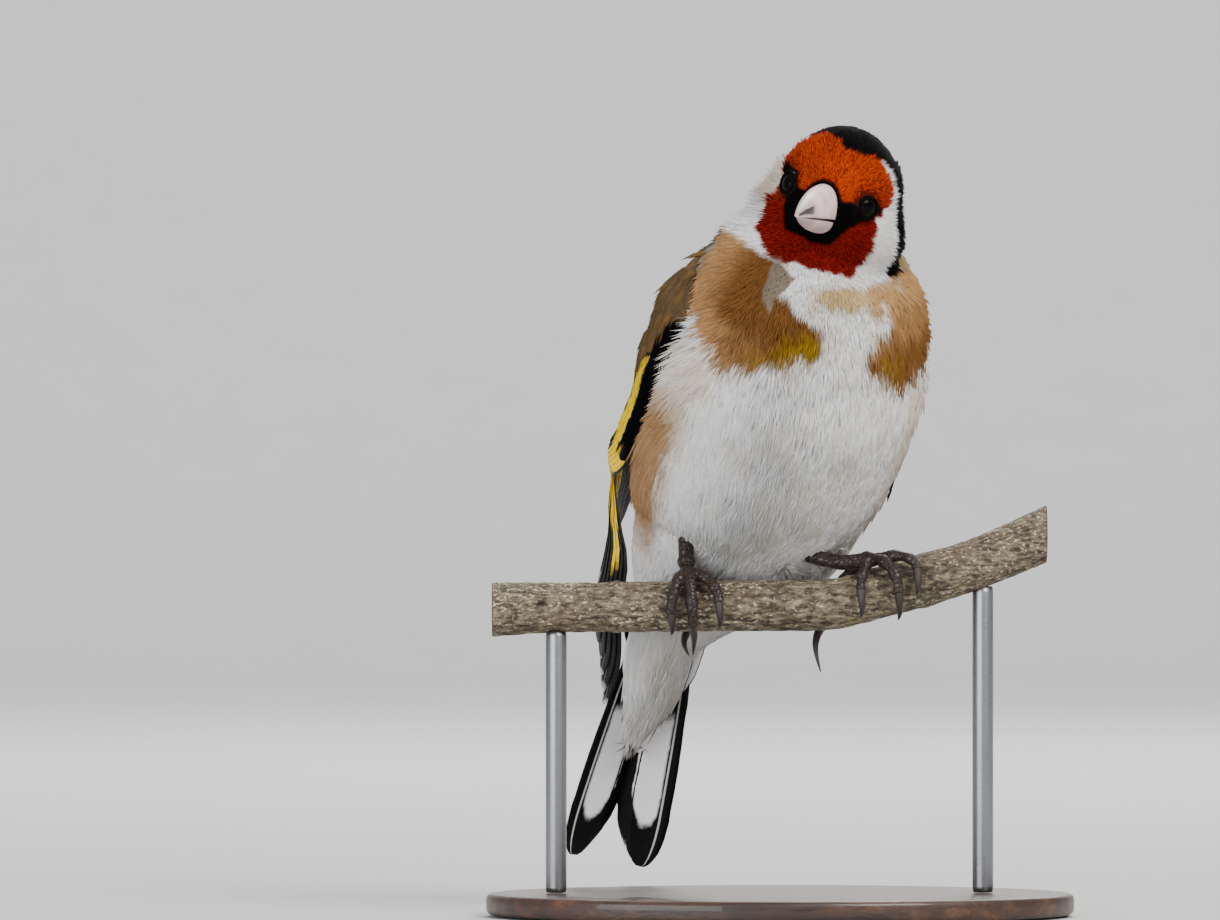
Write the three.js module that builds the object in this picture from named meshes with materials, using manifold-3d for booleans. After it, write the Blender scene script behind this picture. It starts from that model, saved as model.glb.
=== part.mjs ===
// European goldfinch, a still, life-size model perched on a cut length of branch that a plain
// display stand holds up. Millimetres, +Z up. The bird looks towards -Y, and its own left side
// is towards +X. The origin is the middle of the stand's underside, and every height in this
// file is counted from LIFT above it.
import * as THREE from "three";
import { mergeVertices } from "three/addons/utils/BufferGeometryUtils.js";
import Module from "manifold-3d";

const wasm = await Module();
wasm.setup();

// Driving dimensions
const GAP = 0.3; // between pieces that touch
const VANE = 0.5; // thickness of a feather vane
const LIFT = 2; // how far the stand's underside lies below the heights given here

const STAND = { long: 84, deep: 60, thick: 3, bevel: 0.8, rod: 1.5, rodsAt: [-32, 29] };

// Branch stations stand at equal steps in X, from its left cut end to its right one
const BRANCH = {
  from: -41,
  to: 38,
  heights: [41.5, 41.8, 41.9, 42.0, 42.1, 42.5, 45.1, 48.1, 52.3],
  depths: [0.4, 0.2, 0, 0, 0, 0, 0.3, 1.0, 2.2],
  radii: [4.0, 3.7, 3.7, 3.7, 3.8, 3.8, 4.0, 4.0, 4.3],
  barkRelief: 0.28,
};

// Trunk stations run from the tips of the under tail coverts up into the head. wide is half the
// width, front the depth from the middle line to the breast side, and back that to the back
const TRUNK = [
  { at: [-21.2, 20.8, 22.0], wide: 1.3, front: 1.2, back: 1.0 },
  { at: [-18.4, 18.0, 29.6], wide: 4.4, front: 3.0, back: 3.0 },
  { at: [-15.8, 15.6, 38.0], wide: 6.2, front: 5.2, back: 5.4 },
  { at: [-11.1, 13.0, 46.5], wide: 11.8, front: 8.4, back: 9.0 },
  { at: [-6.1, 9.0, 54.5], wide: 17.0, front: 12.2, back: 13.0 },
  { at: [-2.7, 4.0, 63.5], wide: 18.4, front: 17.0, back: 15.5 },
  { at: [1.0, -1.5, 74.0], wide: 19.0, front: 18.6, back: 16.5 },
  { at: [3.2, -5.8, 82.0], wide: 18.1, front: 16.4, back: 15.5 },
  { at: [4.7, -9.6, 89.5], wide: 15.8, front: 12.8, back: 13.2 },
  { at: [6.4, -12.2, 96.0], wide: 10.2, front: 9.2, back: 8.6 },
];
const TRUNK_TURN = [12, 20]; // degrees that the belly side turns towards +X, at the tail and at the neck
const TRUNK_MESH = { around: 24, along: 18 };

const HEAD = {
  at: [7.8, -14.5, 100.0],
  turn: -17, // degrees towards -X
  nod: 12, // degrees down
  tilt: 18, // degrees of the crown towards +X
  front: 10.2,
  back: 11.8,
  wide: 9.2,
  high: 10.8,
  low: 12.6,
  cheek: 0.36, // how much wider the cheeks are than the skull
};
const NECK = { headCut: 8.6, torsoCutAt: 0.885 }; // below the head's middle, and along the trunk
const TAIL_CUT_AT = 0.24; // along the trunk

const EYE = { forward: 0.58, aside: 0.79, up: 0.16, ball: 2.4, bulge: 0.6, lid: 0.55, lidRing: 2.2 };

const BILL = {
  root: 7.4, // from the head's middle, inside the head
  upperLong: 15.4,
  lowerLong: 14.0,
  wide: 2.7,
  upperHigh: 4.1,
  lowerDeep: 2.5,
  droop: 1.4, // how far the middle of the bill's root lies below the head's middle
  rise: 2.6, // how far the line between the halves rises up to the tip
  nostril: 0.42,
  nostrilAt: { along: 4.4, aside: 1.75, up: 1.1 },
};

// A wing is laid out on a chart along the trunk's side: u runs back from the wrist, and v from
// the wing's side line up towards the back, both in millimetres. The line's stations stand at
// equal steps of u. Each gives how far the side line lies out from the trunk's middle, how far
// up towards the back, and how tightly the wing bends over the back
const WING = {
  wristFromTailEnd: 72, // along the trunk's middle line
  from: -6,
  to: 70,
  line: [
    [16.0, 0.5, 14],
    [18.1, 0, 15.5],
    [18.4, 0.6, 15.2],
    [18.0, 2.2, 13.6],
    [14.3, 5.2, 11.6],
    [8.6, 8.0, 18],
    [4.0, 6.6, 30],
  ],
  tuck: { from: 36, to: 64, by: 4.5 }, // how the left wing's tip is drawn in behind the body
  padFrom: -5,
  padTo: 24,
  padLow: -1.8,
  padHigh: 20,
  padThick: 1.3,
  rise: 0.13, // how much thicker the pad is for each millimetre towards the back
};

// Each row of wing feathers runs from its outermost feather to its innermost. root and tip are
// [u, v] of those two, wide their widths, layer their heights in the stack, full the part of
// the length where they are widest, and steps the number of parts along each
const WING_ROWS = [
  {
    name: "primary", count: 8,
    root: [[14, 0.5], [20, 7.5]], tip: [[71.4, 0.2], [50, 8]],
    wide: [4, 5], layer: [0, 1.5], full: 0.6, steps: 6,
  },
  {
    name: "secondary", count: 4,
    root: [[18, 8.5], [19, 13]], tip: [[48, 9.4], [44, 13.6]],
    wide: [5.4, 5.6], layer: [1.6, 2.2], full: 0.8, steps: 3,
  },
  {
    name: "tertial", count: 3,
    root: [[17, 14], [15, 17]], tip: [[45, 14.8], [34, 18.8]],
    wide: [6.4, 5.6], layer: [2.3, 2.7], full: 0.7, steps: 3,
  },
  {
    name: "primaryCovert", count: 3,
    root: [[11, 0.4], [12, 3]], tip: [[26, 0.6], [27, 3.2]],
    wide: [2.8, 3.2], layer: [0.6, 1.1], full: 0.7, steps: 3,
  },
  {
    name: "greaterCovert", count: 5,
    root: [[10, 4.4], [9, 17]], tip: [[27, 5], [24, 18]],
    wide: [4.6, 5], layer: [1.3, 3.2], full: 0.8, steps: 3,
  },
  {
    name: "medianCovert", count: 4,
    root: [[4, 3], [3, 16]], tip: [[14, 3.4], [12.5, 17]],
    wide: [5, 5.4], layer: [1.9, 3.8], full: 0.8, steps: 3,
  },
  {
    name: "alula", count: 2,
    root: [[4, -0.4], [4, 0.8]], tip: [[16, -0.4], [13, 0.7]],
    wide: [2.2, 2.2], layer: [0.8, 1.1], full: 0.7, steps: 3,
  },
];

// The hollow that the torso leaves for a wing, as [u, lowest v, highest v]
const WING_BED = [
  [-6.4, 4, 12],
  [-5, 0.4, 17.6],
  [0, -2.4, 20.6],
  [22, -3.2, 21.8],
  [46, -3.0, 20.8],
  [58, -3.0, 14],
  [72.6, -2.6, 7],
];
const BED_OPEN = 9; // how far the cutting form reaches out past the chart
const BED_UNDER = 0.8; // and how far under it

// The tail lies on a flat chart: u runs from its root to its tips, v to the bird's left, and
// height towards the belly side
const TAIL = {
  root: [-13.1, 13.2, 49.8],
  toTip: [-0.235, 0.33, -0.914],
  turn: 12,
  pairs: 6,
  long: [45, 49.6], // the middle pair and the outer one
  wide: [5.4, 5.8],
  full: 0.82,
  apart: [2.5, 5.0], // of a feather's tip from the middle line
  rootApart: [0.4, 2.2],
  layer: [-3.4, -1.4],
  rootAt: 6,
  coverts: 5,
  covertLong: [22, 31.5],
};

const LEG = { shank: 0.95, toe: 0.82, ankle: 1.25, thigh: 3.0, claw: 0.62 };

// Feet. root is the branch X where the toes meet. Each toe runs over the branch from there to x,
// round to the angle to (90 is the top, 180 the front, 270 underneath), and its claw goes on
const FEET = {
  right: {
    root: -13.4,
    shank: [[-13.6, 4.6, 58.5], [-13.5, 1.6, 52.5], [-13.4, 0.2, 48.4]],
    toes: [
      { name: "inner", x: -8.8, to: 172, claw: 34, drop: 0.2, wide: 1.0 },
      { name: "middle", x: -12.5, to: 212, claw: 22, drop: 2.6, wide: 1.05 },
      { name: "outer", x: -15.6, to: 190, claw: 30, drop: 0.2, wide: 1.0 },
      { name: "hind", x: -13.0, to: -38, claw: -30, drop: 2.2, wide: 1.05 },
    ],
  },
  left: {
    root: 13.0,
    shank: [[-1.2, 5.2, 52.4], [3.4, 2.2, 49.6], [8.4, 0.2, 48.3], [12.4, -0.4, 48.6]],
    toes: [
      { name: "inner", x: 11.4, to: 165, claw: 34, drop: 0.2, wide: 0.95 },
      { name: "middle", x: 16.8, to: 186, claw: 34, drop: 0.5, wide: 1.05 },
      { name: "outer", x: 19.4, to: 158, claw: 30, drop: 0.2, wide: 0.95 },
      { name: "hind", x: 5.8, to: -44, claw: -26, drop: 4.6, wide: 1.05 },
    ],
  },
};

const FINISH = {
  breast: [0xe9e4da, 0.85],
  tawny: [0x9a6a3a, 0.85],
  mask: [0xb02a12, 0.85],
  black: [0x17161a, 0.6],
  yellow: [0xe8c21a, 0.7],
  bill: [0xe6d3cf, 0.4],
  eye: [0x120c0a, 0.08],
  skin: [0x5f4a44, 0.6],
  claw: [0x2c2626, 0.4],
  bark: [0x7c7466, 0.95],
  wood: [0x4a3426, 0.5],
  steel: [0x8d8f92, 0.3, 0.9],
};

const vec = (x, y, z) => new THREE.Vector3(x, y, z);
const mix = THREE.MathUtils.lerp;
const rad = THREE.MathUtils.degToRad;
const smooth = THREE.MathUtils.smoothstep;
const smoothLine = (points) => new THREE.CatmullRomCurve3(points, false, "catmullrom");

// A repeatable random number from 0 to 1
function seeded(seed) {
  let state = seed;
  return () => {
    state = (state * 1664525 + 1013904223) % 4294967296;
    return state / 4294967296;
  };
}

// A closed three.js geometry as a solid, turned right side out
function solid(geometry) {
  const bare = new THREE.BufferGeometry().setIndex(geometry.index);
  bare.setAttribute("position", geometry.attributes.position);
  const merged = mergeVertices(bare, 1e-4);
  const triVerts = new Uint32Array(merged.index.array);
  const vertProperties = merged.attributes.position.array;
  const made = new wasm.Manifold(new wasm.Mesh({ numProp: 3, vertProperties, triVerts }));
  if (made.volume() > 0) return made;
  for (let i = 0; i < triVerts.length; i += 3) triVerts.subarray(i, i + 2).reverse();
  return new wasm.Manifold(new wasm.Mesh({ numProp: 3, vertProperties, triVerts }));
}

// Moves every vertex of a geometry to where the function puts it
function bend(geometry, place) {
  const places = geometry.attributes.position;
  const p = vec(0, 0, 0);
  for (let i = 0; i < places.count; i++) {
    const q = place(p.fromBufferAttribute(places, i));
    places.setXYZ(i, q.x, q.y, q.z);
  }
  return geometry;
}

// A tube of rings. ring(t, x, z) gives the point for the ring's own x and z, at t from 0 to 1
function tube(around, along, ring) {
  const rod = new THREE.CylinderGeometry(1, 1, 1, around, along);
  return solid(bend(rod, (p) => ring(p.y + 0.5, p.x, p.z)));
}

// A closed plate, split into triangles alike on both faces. place(s, w, top) gives the point at
// s from 0 to 1 along, w from -1 to 1 across, and top 0 or 1
function plate(along, across, place) {
  const positions = [];
  const index = [];
  const at = (i, j, top) => (top * (along + 1) + i) * (across + 1) + j;
  for (let top = 0; top < 2; top++) {
    for (let i = 0; i <= along; i++) {
      for (let j = 0; j <= across; j++) {
        positions.push(...place(i / along, (2 * j) / across - 1, top).toArray());
      }
    }
  }
  const quad = (a, b, c, d) => index.push(a, b, c, a, c, d);
  for (let i = 0; i < along; i++) {
    for (let j = 0; j < across; j++) {
      quad(at(i, j, 1), at(i + 1, j, 1), at(i + 1, j + 1, 1), at(i, j + 1, 1));
      index.push(at(i, j, 0), at(i + 1, j + 1, 0), at(i + 1, j, 0));
      index.push(at(i, j, 0), at(i, j + 1, 0), at(i + 1, j + 1, 0));
    }
    quad(at(i, 0, 0), at(i + 1, 0, 0), at(i + 1, 0, 1), at(i, 0, 1));
    quad(at(i, across, 1), at(i + 1, across, 1), at(i + 1, across, 0), at(i, across, 0));
  }
  for (let j = 0; j < across; j++) {
    quad(at(0, j, 1), at(0, j + 1, 1), at(0, j + 1, 0), at(0, j, 0));
    quad(at(along, j, 0), at(along, j + 1, 0), at(along, j + 1, 1), at(along, j, 1));
  }
  const geometry = new THREE.BufferGeometry().setIndex(index);
  geometry.setAttribute("position", new THREE.Float32BufferAttribute(positions, 3));
  return solid(geometry);
}

const joined = (solids) => wasm.Manifold.union(solids);

// The largest closed surface of a solid, which fills sealed hollows and drops loose scraps
function largest(body) {
  return body.decompose().reduce((a, b) => (a.volume() > b.volume() ? a : b));
}

// Keeps what lies beyond a plane through the point, on the side that the normal points to
function beyond(body, point, normal) {
  return body.trimByPlane(normal.toArray(), point.dot(normal));
}

// Trunk
const trunkLine = smoothLine(TRUNK.map((s) => vec(...s.at)));
const trunkSize = smoothLine(TRUNK.map((s) => vec(s.wide, s.front, s.back)));

// The trunk's middle, directions and sizes at t from 0, the tail's end, to 1
function trunkAt(t) {
  const along = trunkLine.getTangent(t);
  const turn = rad(mix(...TRUNK_TURN, t));
  const facing = vec(Math.sin(turn), -Math.cos(turn), 0);
  const belly = facing.addScaledVector(along, -facing.dot(along)).normalize();
  const left = along.clone().cross(belly);
  const size = trunkSize.getPoint(t);
  return { middle: trunkLine.getPoint(t), along, belly, left, size };
}

function trunkSolid(grow) {
  return tube(TRUNK_MESH.around, TRUNK_MESH.along, (t, x, z) => {
    const { middle, belly, left, size } = trunkAt(t);
    const depth = z > 0 ? size.y : size.z;
    return middle.addScaledVector(left, x * (size.x + grow)).addScaledVector(belly, z * (depth + grow));
  });
}

// Head
const headMiddle = vec(...HEAD.at);
const headTurn = new THREE.Matrix4().makeRotationZ(rad(HEAD.turn));
headTurn.multiply(new THREE.Matrix4().makeRotationX(rad(HEAD.nod)));
headTurn.multiply(new THREE.Matrix4().makeRotationY(rad(HEAD.tilt)));
const headLeft = vec(1, 0, 0).transformDirection(headTurn);
const headForward = vec(0, -1, 0).transformDirection(headTurn);
const headUp = vec(0, 0, 1).transformDirection(headTurn);

// A point given from the head's middle by its own directions
function fromHead(forward, aside, up) {
  const p = headMiddle.clone().addScaledVector(headForward, forward);
  return p.addScaledVector(headLeft, aside).addScaledVector(headUp, up);
}

// The head's surface in the direction of a unit vector of its own
function headSurface(forward, aside, up, grow = 0) {
  const ruff = smooth(-up, -0.15, 0.55) * (1 - 0.35 * smooth(-up, 0.75, 1));
  const taper = 1 - 0.22 * Math.max(forward, 0) ** 2;
  const wide = HEAD.wide * (1 + HEAD.cheek * ruff) * taper;
  const high = (up > 0 ? HEAD.high : HEAD.low) * taper;
  const deep = forward > 0 ? HEAD.front : HEAD.back;
  return fromHead(forward * (deep + grow), aside * (wide + grow), up * (high + grow));
}

function headSolid(grow) {
  const ball = new THREE.SphereGeometry(1, 24, 15);
  return solid(bend(ball, (p) => headSurface(p.z, p.x, p.y, grow)));
}

// Where the eye's ball looks out of the head, and the way it looks
function eyeSeat(side) {
  const at = (forward, aside, up) => {
    const d = vec(forward, side * aside, up).normalize();
    return headSurface(d.x, d.y, d.z);
  };
  const { forward, aside, up } = EYE;
  const step = 0.05;
  const surface = at(forward, aside, up);
  const ahead = at(forward + step, aside, up).sub(surface);
  const above = at(forward, aside, up + step).sub(surface);
  const out = ahead.cross(above).multiplyScalar(-side).normalize();
  return { out, middle: surface.addScaledVector(out, EYE.bulge - EYE.ball) };
}

function ballSolid(middle, radius, around = 16) {
  const ball = new THREE.SphereGeometry(radius, around, around / 2);
  return solid(ball.translate(...middle.toArray()));
}

// The lids stand round the eye as a ring, where the ball leaves the head
function lidSolid(side) {
  const { out, middle } = eyeSeat(side);
  const ring = new THREE.TorusGeometry(EYE.lidRing, EYE.lid, 6, 15);
  ring.applyQuaternion(new THREE.Quaternion().setFromUnitVectors(vec(0, 0, 1), out));
  middle.addScaledVector(out, Math.sqrt((EYE.ball + GAP) ** 2 - EYE.lidRing ** 2));
  return solid(ring.translate(...middle.toArray()));
}

// How far the line between the bill's halves lies above the head's middle, at a distance along it
const billLine = (along) => (BILL.rise * along) / BILL.upperLong - BILL.droop;

// One half of the bill. up is 1 for the upper half and -1 for the lower one
function billSolid(long, high, up) {
  const half = tube(14, 8, (t, x, z) => {
    const swell = (1 - t) ** 0.75 * (1 + 0.18 * Math.sin(Math.PI * t));
    const away = up * z;
    const lift = away > 0 ? away * high : away * 0.1;
    const tip = 0.12;
    const hook = up > 0 ? -0.5 * t ** 3 : 0;
    const rise = up * (GAP / 2 + 0.1 + (lift + tip * Math.max(away, 0)) * (swell + tip));
    const aside = x * BILL.wide * (swell * (up > 0 ? 1 : 0.94) + tip * 0.6);
    return fromHead(BILL.root + t * long, aside, billLine(t * long) + rise + hook - 0.6 * (1 - t));
  });
  return half;
}

// Wings
const tFromTail = (distance) => trunkLine.getUtoTmapping(0, Math.max(distance, 0));

const wingLine = smoothLine(WING.line.map((p) => vec(...p)));

// A point of the wing's chart, at a height over it
function wingPoint(side, u, v, height) {
  const { middle, belly, left } = trunkAt(tFromTail(WING.wristFromTailEnd - u));
  const share = THREE.MathUtils.clamp((u - WING.from) / (WING.to - WING.from), 0, 1);
  const { x: out, y: lift, z: round } = wingLine.getPoint(share);
  const angle = v / round;
  const tuck = side > 0 ? WING.tuck.by * smooth(u, WING.tuck.from, WING.tuck.to) : 0;
  const aside = out - tuck - round + (round + height) * Math.cos(angle);
  const back = lift + (round + height) * Math.sin(angle);
  return middle.addScaledVector(left, side * aside).addScaledVector(belly, -back);
}

// The arm and shoulder: a low pad that holds the feather roots
function wingPad(side) {
  return plate(7, 5, (s, w, top) => {
    const u = mix(WING.padFrom, WING.padTo, s);
    const round = Math.sqrt(Math.max(0, 1 - Math.abs(2 * s - 1) ** 3));
    const v = mix(WING.padLow, WING.padHigh, (w * (0.35 + 0.65 * round) + 1) / 2);
    const dome = smooth(s, -0.05, 0.3) * (1 - smooth(s, 0.55, 1)) * (1 - 0.75 * w ** 4);
    const thick = VANE + (WING.padThick + WING.rise * (v - WING.padLow)) * dome;
    return wingPoint(side, u, v, top * thick);
  });
}

// The room that a wing takes up, from just under it outwards
function wingBed(side) {
  const edge = smoothLine(WING_BED.map((p) => vec(...p)));
  return plate(14, 6, (s, w, top) => {
    const { x: u, y: low, z: high } = edge.getPoint(s);
    return wingPoint(side, u, mix(low, high, (w + 1) / 2), top ? BED_OPEN : -BED_UNDER);
  });
}

// A vane: narrow at its root, widest at the part of its length that full gives, and rounded at
// its tip. place(u, v, h) gives a point of the chart that it lies on
function vane({ root, tip, wide, height, full, steps }, place) {
  const run = vec(tip[0] - root[0], tip[1] - root[1], 0);
  const across = vec(-run.y, run.x, 0).normalize();
  return plate(steps, 1, (s, w, top) => {
    const round = Math.sqrt(Math.max(0, 1 - ((s - full) / (1.005 - full)) ** 2));
    const share = s < full ? mix(0.5, 1, Math.sin((s / full) * Math.PI * 0.5)) : round;
    const half = 0.5 * wide * Math.max(share, 0.14) * w;
    const thick = VANE * (s > 0.99 ? 0.5 : 1);
    const u = root[0] + run.x * s + across.x * half;
    const v = root[1] + run.y * s + across.y * half;
    return place(u, v, height + top * thick);
  });
}

// The point of the chart at a share s of the way from the first of two points to the second
const between = ([from, to], s) => [mix(from[0], to[0], s), mix(from[1], to[1], s)];

function wingRow(side, row) {
  const vary = seeded(row.count * 7 + 3);
  return Array.from({ length: row.count }, (_, i) => {
    const s = i / (row.count - 1);
    const uneven = 0.5 * (vary() - 0.5);
    const root = between(row.root, s);
    const tip = between(row.tip, s);
    tip[0] += uneven;
    const wide = mix(...row.wide, s);
    const height = mix(...row.layer, s);
    const shape = { root, tip, wide, height, full: row.full, steps: row.steps };
    return vane(shape, (u, v, h) => wingPoint(side, u, v, h));
  });
}

function wingSolid(side) {
  return largest(joined([wingPad(side), ...WING_ROWS.flatMap((row) => wingRow(side, row))]));
}

// Tail
const tailAlong = vec(...TAIL.toTip).normalize();
const tailFacing = vec(Math.sin(rad(TAIL.turn)), -Math.cos(rad(TAIL.turn)), 0);
const tailBelly = tailFacing.addScaledVector(tailAlong, -tailFacing.dot(tailAlong)).normalize();
const tailLeft = tailBelly.clone().cross(tailAlong);

function tailPoint(u, v, height) {
  const camber = -0.035 * v * v;
  const p = vec(...TAIL.root).addScaledVector(tailAlong, u).addScaledVector(tailLeft, v);
  return p.addScaledVector(tailBelly, height - camber);
}

function tailFeathers() {
  const feathers = [];
  for (const side of [-1, 1]) {
    for (let k = 0; k < TAIL.pairs; k++) {
      const s = k / (TAIL.pairs - 1);
      const root = [TAIL.rootAt, side * mix(...TAIL.rootApart, s)];
      const tip = [mix(...TAIL.long, Math.sqrt(s)), side * mix(...TAIL.apart, s)];
      const height = mix(...TAIL.layer, s) + (side > 0 ? 0.12 : 0);
      const wide = mix(...TAIL.wide, s);
      feathers.push(vane({ root, tip, wide, height, full: TAIL.full, steps: 4 }, tailPoint));
    }
  }
  return feathers;
}

// Coverts lie over the roots of the tail feathers, on the back side (over is -1) and beneath
function tailCoverts(over) {
  return Array.from({ length: TAIL.coverts }, (_, i) => {
    const s = i / (TAIL.coverts - 1);
    const aside = 2 * s - 1;
    const long = mix(...TAIL.covertLong, 1 - Math.abs(aside)) * (over < 0 ? 0.8 : 1);
    const upper = TAIL.layer[0] - 0.7 - 0.15 * (1 - Math.abs(aside));
    const under = 0.2 + 0.9 * (1 - aside * aside);
    const height = (over < 0 ? upper : under) + 0.11 * (i % 2);
    const root = [7, 4 * aside];
    const tip = [long, 3.2 * aside];
    return vane({ root, tip, wide: 4.4, height, full: 0.6, steps: 3 }, tailPoint);
  });
}

// Branch
const branchSteps = BRANCH.heights.length - 1;
const branchX = (t) => mix(BRANCH.from, BRANCH.to, t);
const branchLine = smoothLine(
  BRANCH.heights.map((z, i) => vec(branchX(i / branchSteps), BRANCH.depths[i], z)),
);
const branchGirth = smoothLine(BRANCH.radii.map((r) => vec(r, 0, 0)));
const branchT = (x) => (x - BRANCH.from) / (BRANCH.to - BRANCH.from);

// A point round the branch at X, at an angle (90 is the top, 180 the front) and off its bark
function branchPoint(x, angle, off) {
  const t = THREE.MathUtils.clamp(branchT(x), 0, 1);
  const p = branchLine.getPoint(t);
  const out = branchGirth.getPoint(t).x + off;
  return p.add(vec(0, Math.cos(rad(angle)) * out, Math.sin(rad(angle)) * out));
}

function branchSolid(grow, relief) {
  const rough = seeded(11);
  const phases = Array.from({ length: 6 }, () => rough() * Math.PI * 2);
  return tube(14, 24, (t, x, z) => {
    const angle = Math.atan2(z, x);
    const waves = phases.map((phase, k) => Math.sin(phase + (k + 2) * angle + (9 + 7 * k) * t));
    const lumps = waves.reduce((sum, wave) => sum + wave, 0);
    const ring = Math.max(0, Math.sin(t * Math.PI * 9 + 0.6)) ** 12;
    const bark = relief * (0.5 + lumps / 12 - 0.45 * ring);
    const middleOfEnd = Math.hypot(x, z) < 0.5;
    if (middleOfEnd) return branchLine.getPoint(t);
    return branchPoint(branchX(t), THREE.MathUtils.radToDeg(angle), grow - bark);
  });
}

// Feet
// A toe's middle line over the branch, as points from its root to its claw's tip, and where
// the claw begins among them
function toeLine(foot, toe) {
  const top = toe.name === "hind" ? 74 : 104;
  const off = GAP + LEG.toe + 0.08;
  const line = [];
  for (let s = 0; s <= 1.0001; s += 0.125) {
    const x = mix(foot.root, toe.x, Math.sin((s * Math.PI) / 2));
    line.push(branchPoint(x, mix(top, toe.to, s), off + 0.35 * Math.sin(Math.PI * s)));
  }
  return smoothLine(line);
}

function clawLine(toe, off) {
  const line = [0, 0.25, 0.5, 0.75, 1].map((s) => {
    const angle = toe.to + toe.claw * 2 * s * (1 - 0.35 * s);
    const p = branchPoint(toe.x, angle, off + 0.25 * Math.sin(Math.PI * s));
    return p.add(vec(0, 0, -toe.drop * s * s));
  });
  return smoothLine(line);
}

// A round tube along a curve, with a radius for each t
function limb(curve, around, along, radius) {
  const normal = (t) => {
    const tangent = curve.getTangent(t);
    const aside = tangent.clone().cross(vec(0.31, 0.2, 0.93)).normalize();
    return [aside, tangent.cross(aside).normalize()];
  };
  return tube(around, along, (t, x, z) => {
    const [a, b] = normal(t);
    const r = radius(t);
    return curve.getPoint(t).addScaledVector(a, x * r).addScaledVector(b, z * r);
  });
}

const padSwell = (t) => 1.02 - 0.22 * t + 0.1 * Math.cos(t * Math.PI * 6);
const toeRadius = (toe, t, grow) => LEG.toe * toe.wide * padSwell(t) + grow;
const toeSolid = (foot, toe, grow) => limb(toeLine(foot, toe), 6, 8, (t) => toeRadius(toe, t, grow));

function clawSolid(foot, toe) {
  const off = GAP + LEG.toe + 0.08;
  const claw = limb(clawLine(toe, off), 6, 5, (t) => LEG.claw * (1.05 - 0.85 * t ** 1.3));
  return largest(claw.subtract(toeSolid(foot, toe, GAP)));
}

const shankLine = (foot) => smoothLine(foot.shank.map((p) => vec(...p)));
const shankRadius = (t) => mix(LEG.ankle, LEG.shank, smooth(t, 0, 0.4));
const shankSolid = (foot, grow) => limb(shankLine(foot), 8, 8, (t) => shankRadius(t) + grow);

// The ball of the foot, where the toes meet
function ballOfFoot(foot, grow) {
  const end = shankLine(foot).getPoint(1);
  return ballSolid(end, LEG.ankle + 0.05 + grow, 12);
}

// The feathered thigh closes round the top of the bare shank
function thighSolid(foot, grow) {
  const line = shankLine(foot);
  const part = new THREE.LineCurve3(line.getPoint(0), line.getPoint(0.42));
  return limb(part, 10, 4, (t) => mix(LEG.thigh, LEG.shank + GAP + 0.45, t) + grow);
}

// Stand
const standBase = () => {
  const r = STAND.long / 2;
  const profile = [
    [0, 0],
    [r - STAND.bevel, 0],
    [r, STAND.bevel],
    [r, STAND.thick - STAND.bevel],
    [r - STAND.bevel, STAND.thick],
    [0, STAND.thick],
  ].map(([x, y]) => new THREE.Vector2(x, y));
  const disc = new THREE.LatheGeometry(profile, 40).rotateX(Math.PI / 2);
  return solid(disc.scale(1, STAND.deep / STAND.long, 1).translate(0, 0, -LIFT));
};

function standRod(x, branch) {
  const { y, z } = branchLine.getPoint(branchT(x));
  const foot = STAND.thick - LIFT + GAP;
  const rod = new THREE.CylinderGeometry(STAND.rod, STAND.rod, z - foot, 14).rotateX(Math.PI / 2);
  return largest(solid(rod.translate(x, y, (z + foot) / 2)).subtract(branch));
}

// The whole animal and its mount
const group = new THREE.Group();

function add(name, body, [color, roughness, metalness = 0]) {
  const { vertProperties, triVerts } = body.getMesh();
  const geometry = new THREE.BufferGeometry();
  geometry.setAttribute("position", new THREE.BufferAttribute(vertProperties, 3));
  geometry.translate(0, 0, LIFT);
  geometry.setIndex(new THREE.BufferAttribute(triVerts, 1));
  geometry.computeVertexNormals();
  const mesh = new THREE.Mesh(geometry, new THREE.MeshStandardMaterial({ color, roughness, metalness }));
  mesh.name = name;
  group.add(mesh);
}

const sides = [
  ["left", 1],
  ["right", -1],
];
const branch = branchSolid(0, BRANCH.barkRelief);
const branchRoom = branchSolid(GAP, 0);

// Legs, toes and claws
let legRoom = branchRoom;
for (const [name] of sides) {
  const foot = FEET[name];
  const shankEnd = shankLine(foot).getPoint(0.9);
  const shankWay = shankLine(foot).getTangent(0.9);
  const bareParts = (grow) => {
    const toes = foot.toes.map((toe) => toeSolid(foot, toe, grow));
    return [shankSolid(foot, grow), ballOfFoot(foot, grow), ...toes];
  };
  const clear = joined(bareParts(0)).subtract(branchRoom);
  const near = shankEnd.clone().addScaledVector(shankWay, GAP / 2);
  const far = shankEnd.clone().addScaledVector(shankWay, -GAP / 2);
  add(`toes_${name}`, largest(beyond(clear, near, shankWay)), FINISH.skin);
  add(`shank_${name}`, largest(beyond(shankSolid(foot, 0), far, shankWay.clone().negate())), FINISH.skin);
  for (const toe of foot.toes) {
    add(`claw_${name}_${toe.name}`, clawSolid(foot, toe).subtract(branchRoom), FINISH.claw);
  }
  const thigh = thighSolid(foot, 0).subtract(shankSolid(foot, GAP));
  add(`thigh_${name}`, largest(thigh.subtract(branchRoom)), FINISH.breast);
  legRoom = joined([legRoom, thighSolid(foot, GAP), ...bareParts(GAP)]);
}

// Tail, torso, neck and head are one form, parted by thin plane cuts
const trunk = trunkSolid(0);
const lids = sides.map(([, side]) => lidSolid(side));
const sockets = sides.map(([, side]) => ballSolid(eyeSeat(side).middle, EYE.ball + GAP, 14));
const headFull = joined([headSolid(0), ...lids]).subtract(joined(sockets));
const headRoom = headSolid(GAP);
const whole = joined([trunk, headFull]).subtract(joined(sockets));
const beds = joined(sides.map(([, side]) => wingBed(side)));

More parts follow.
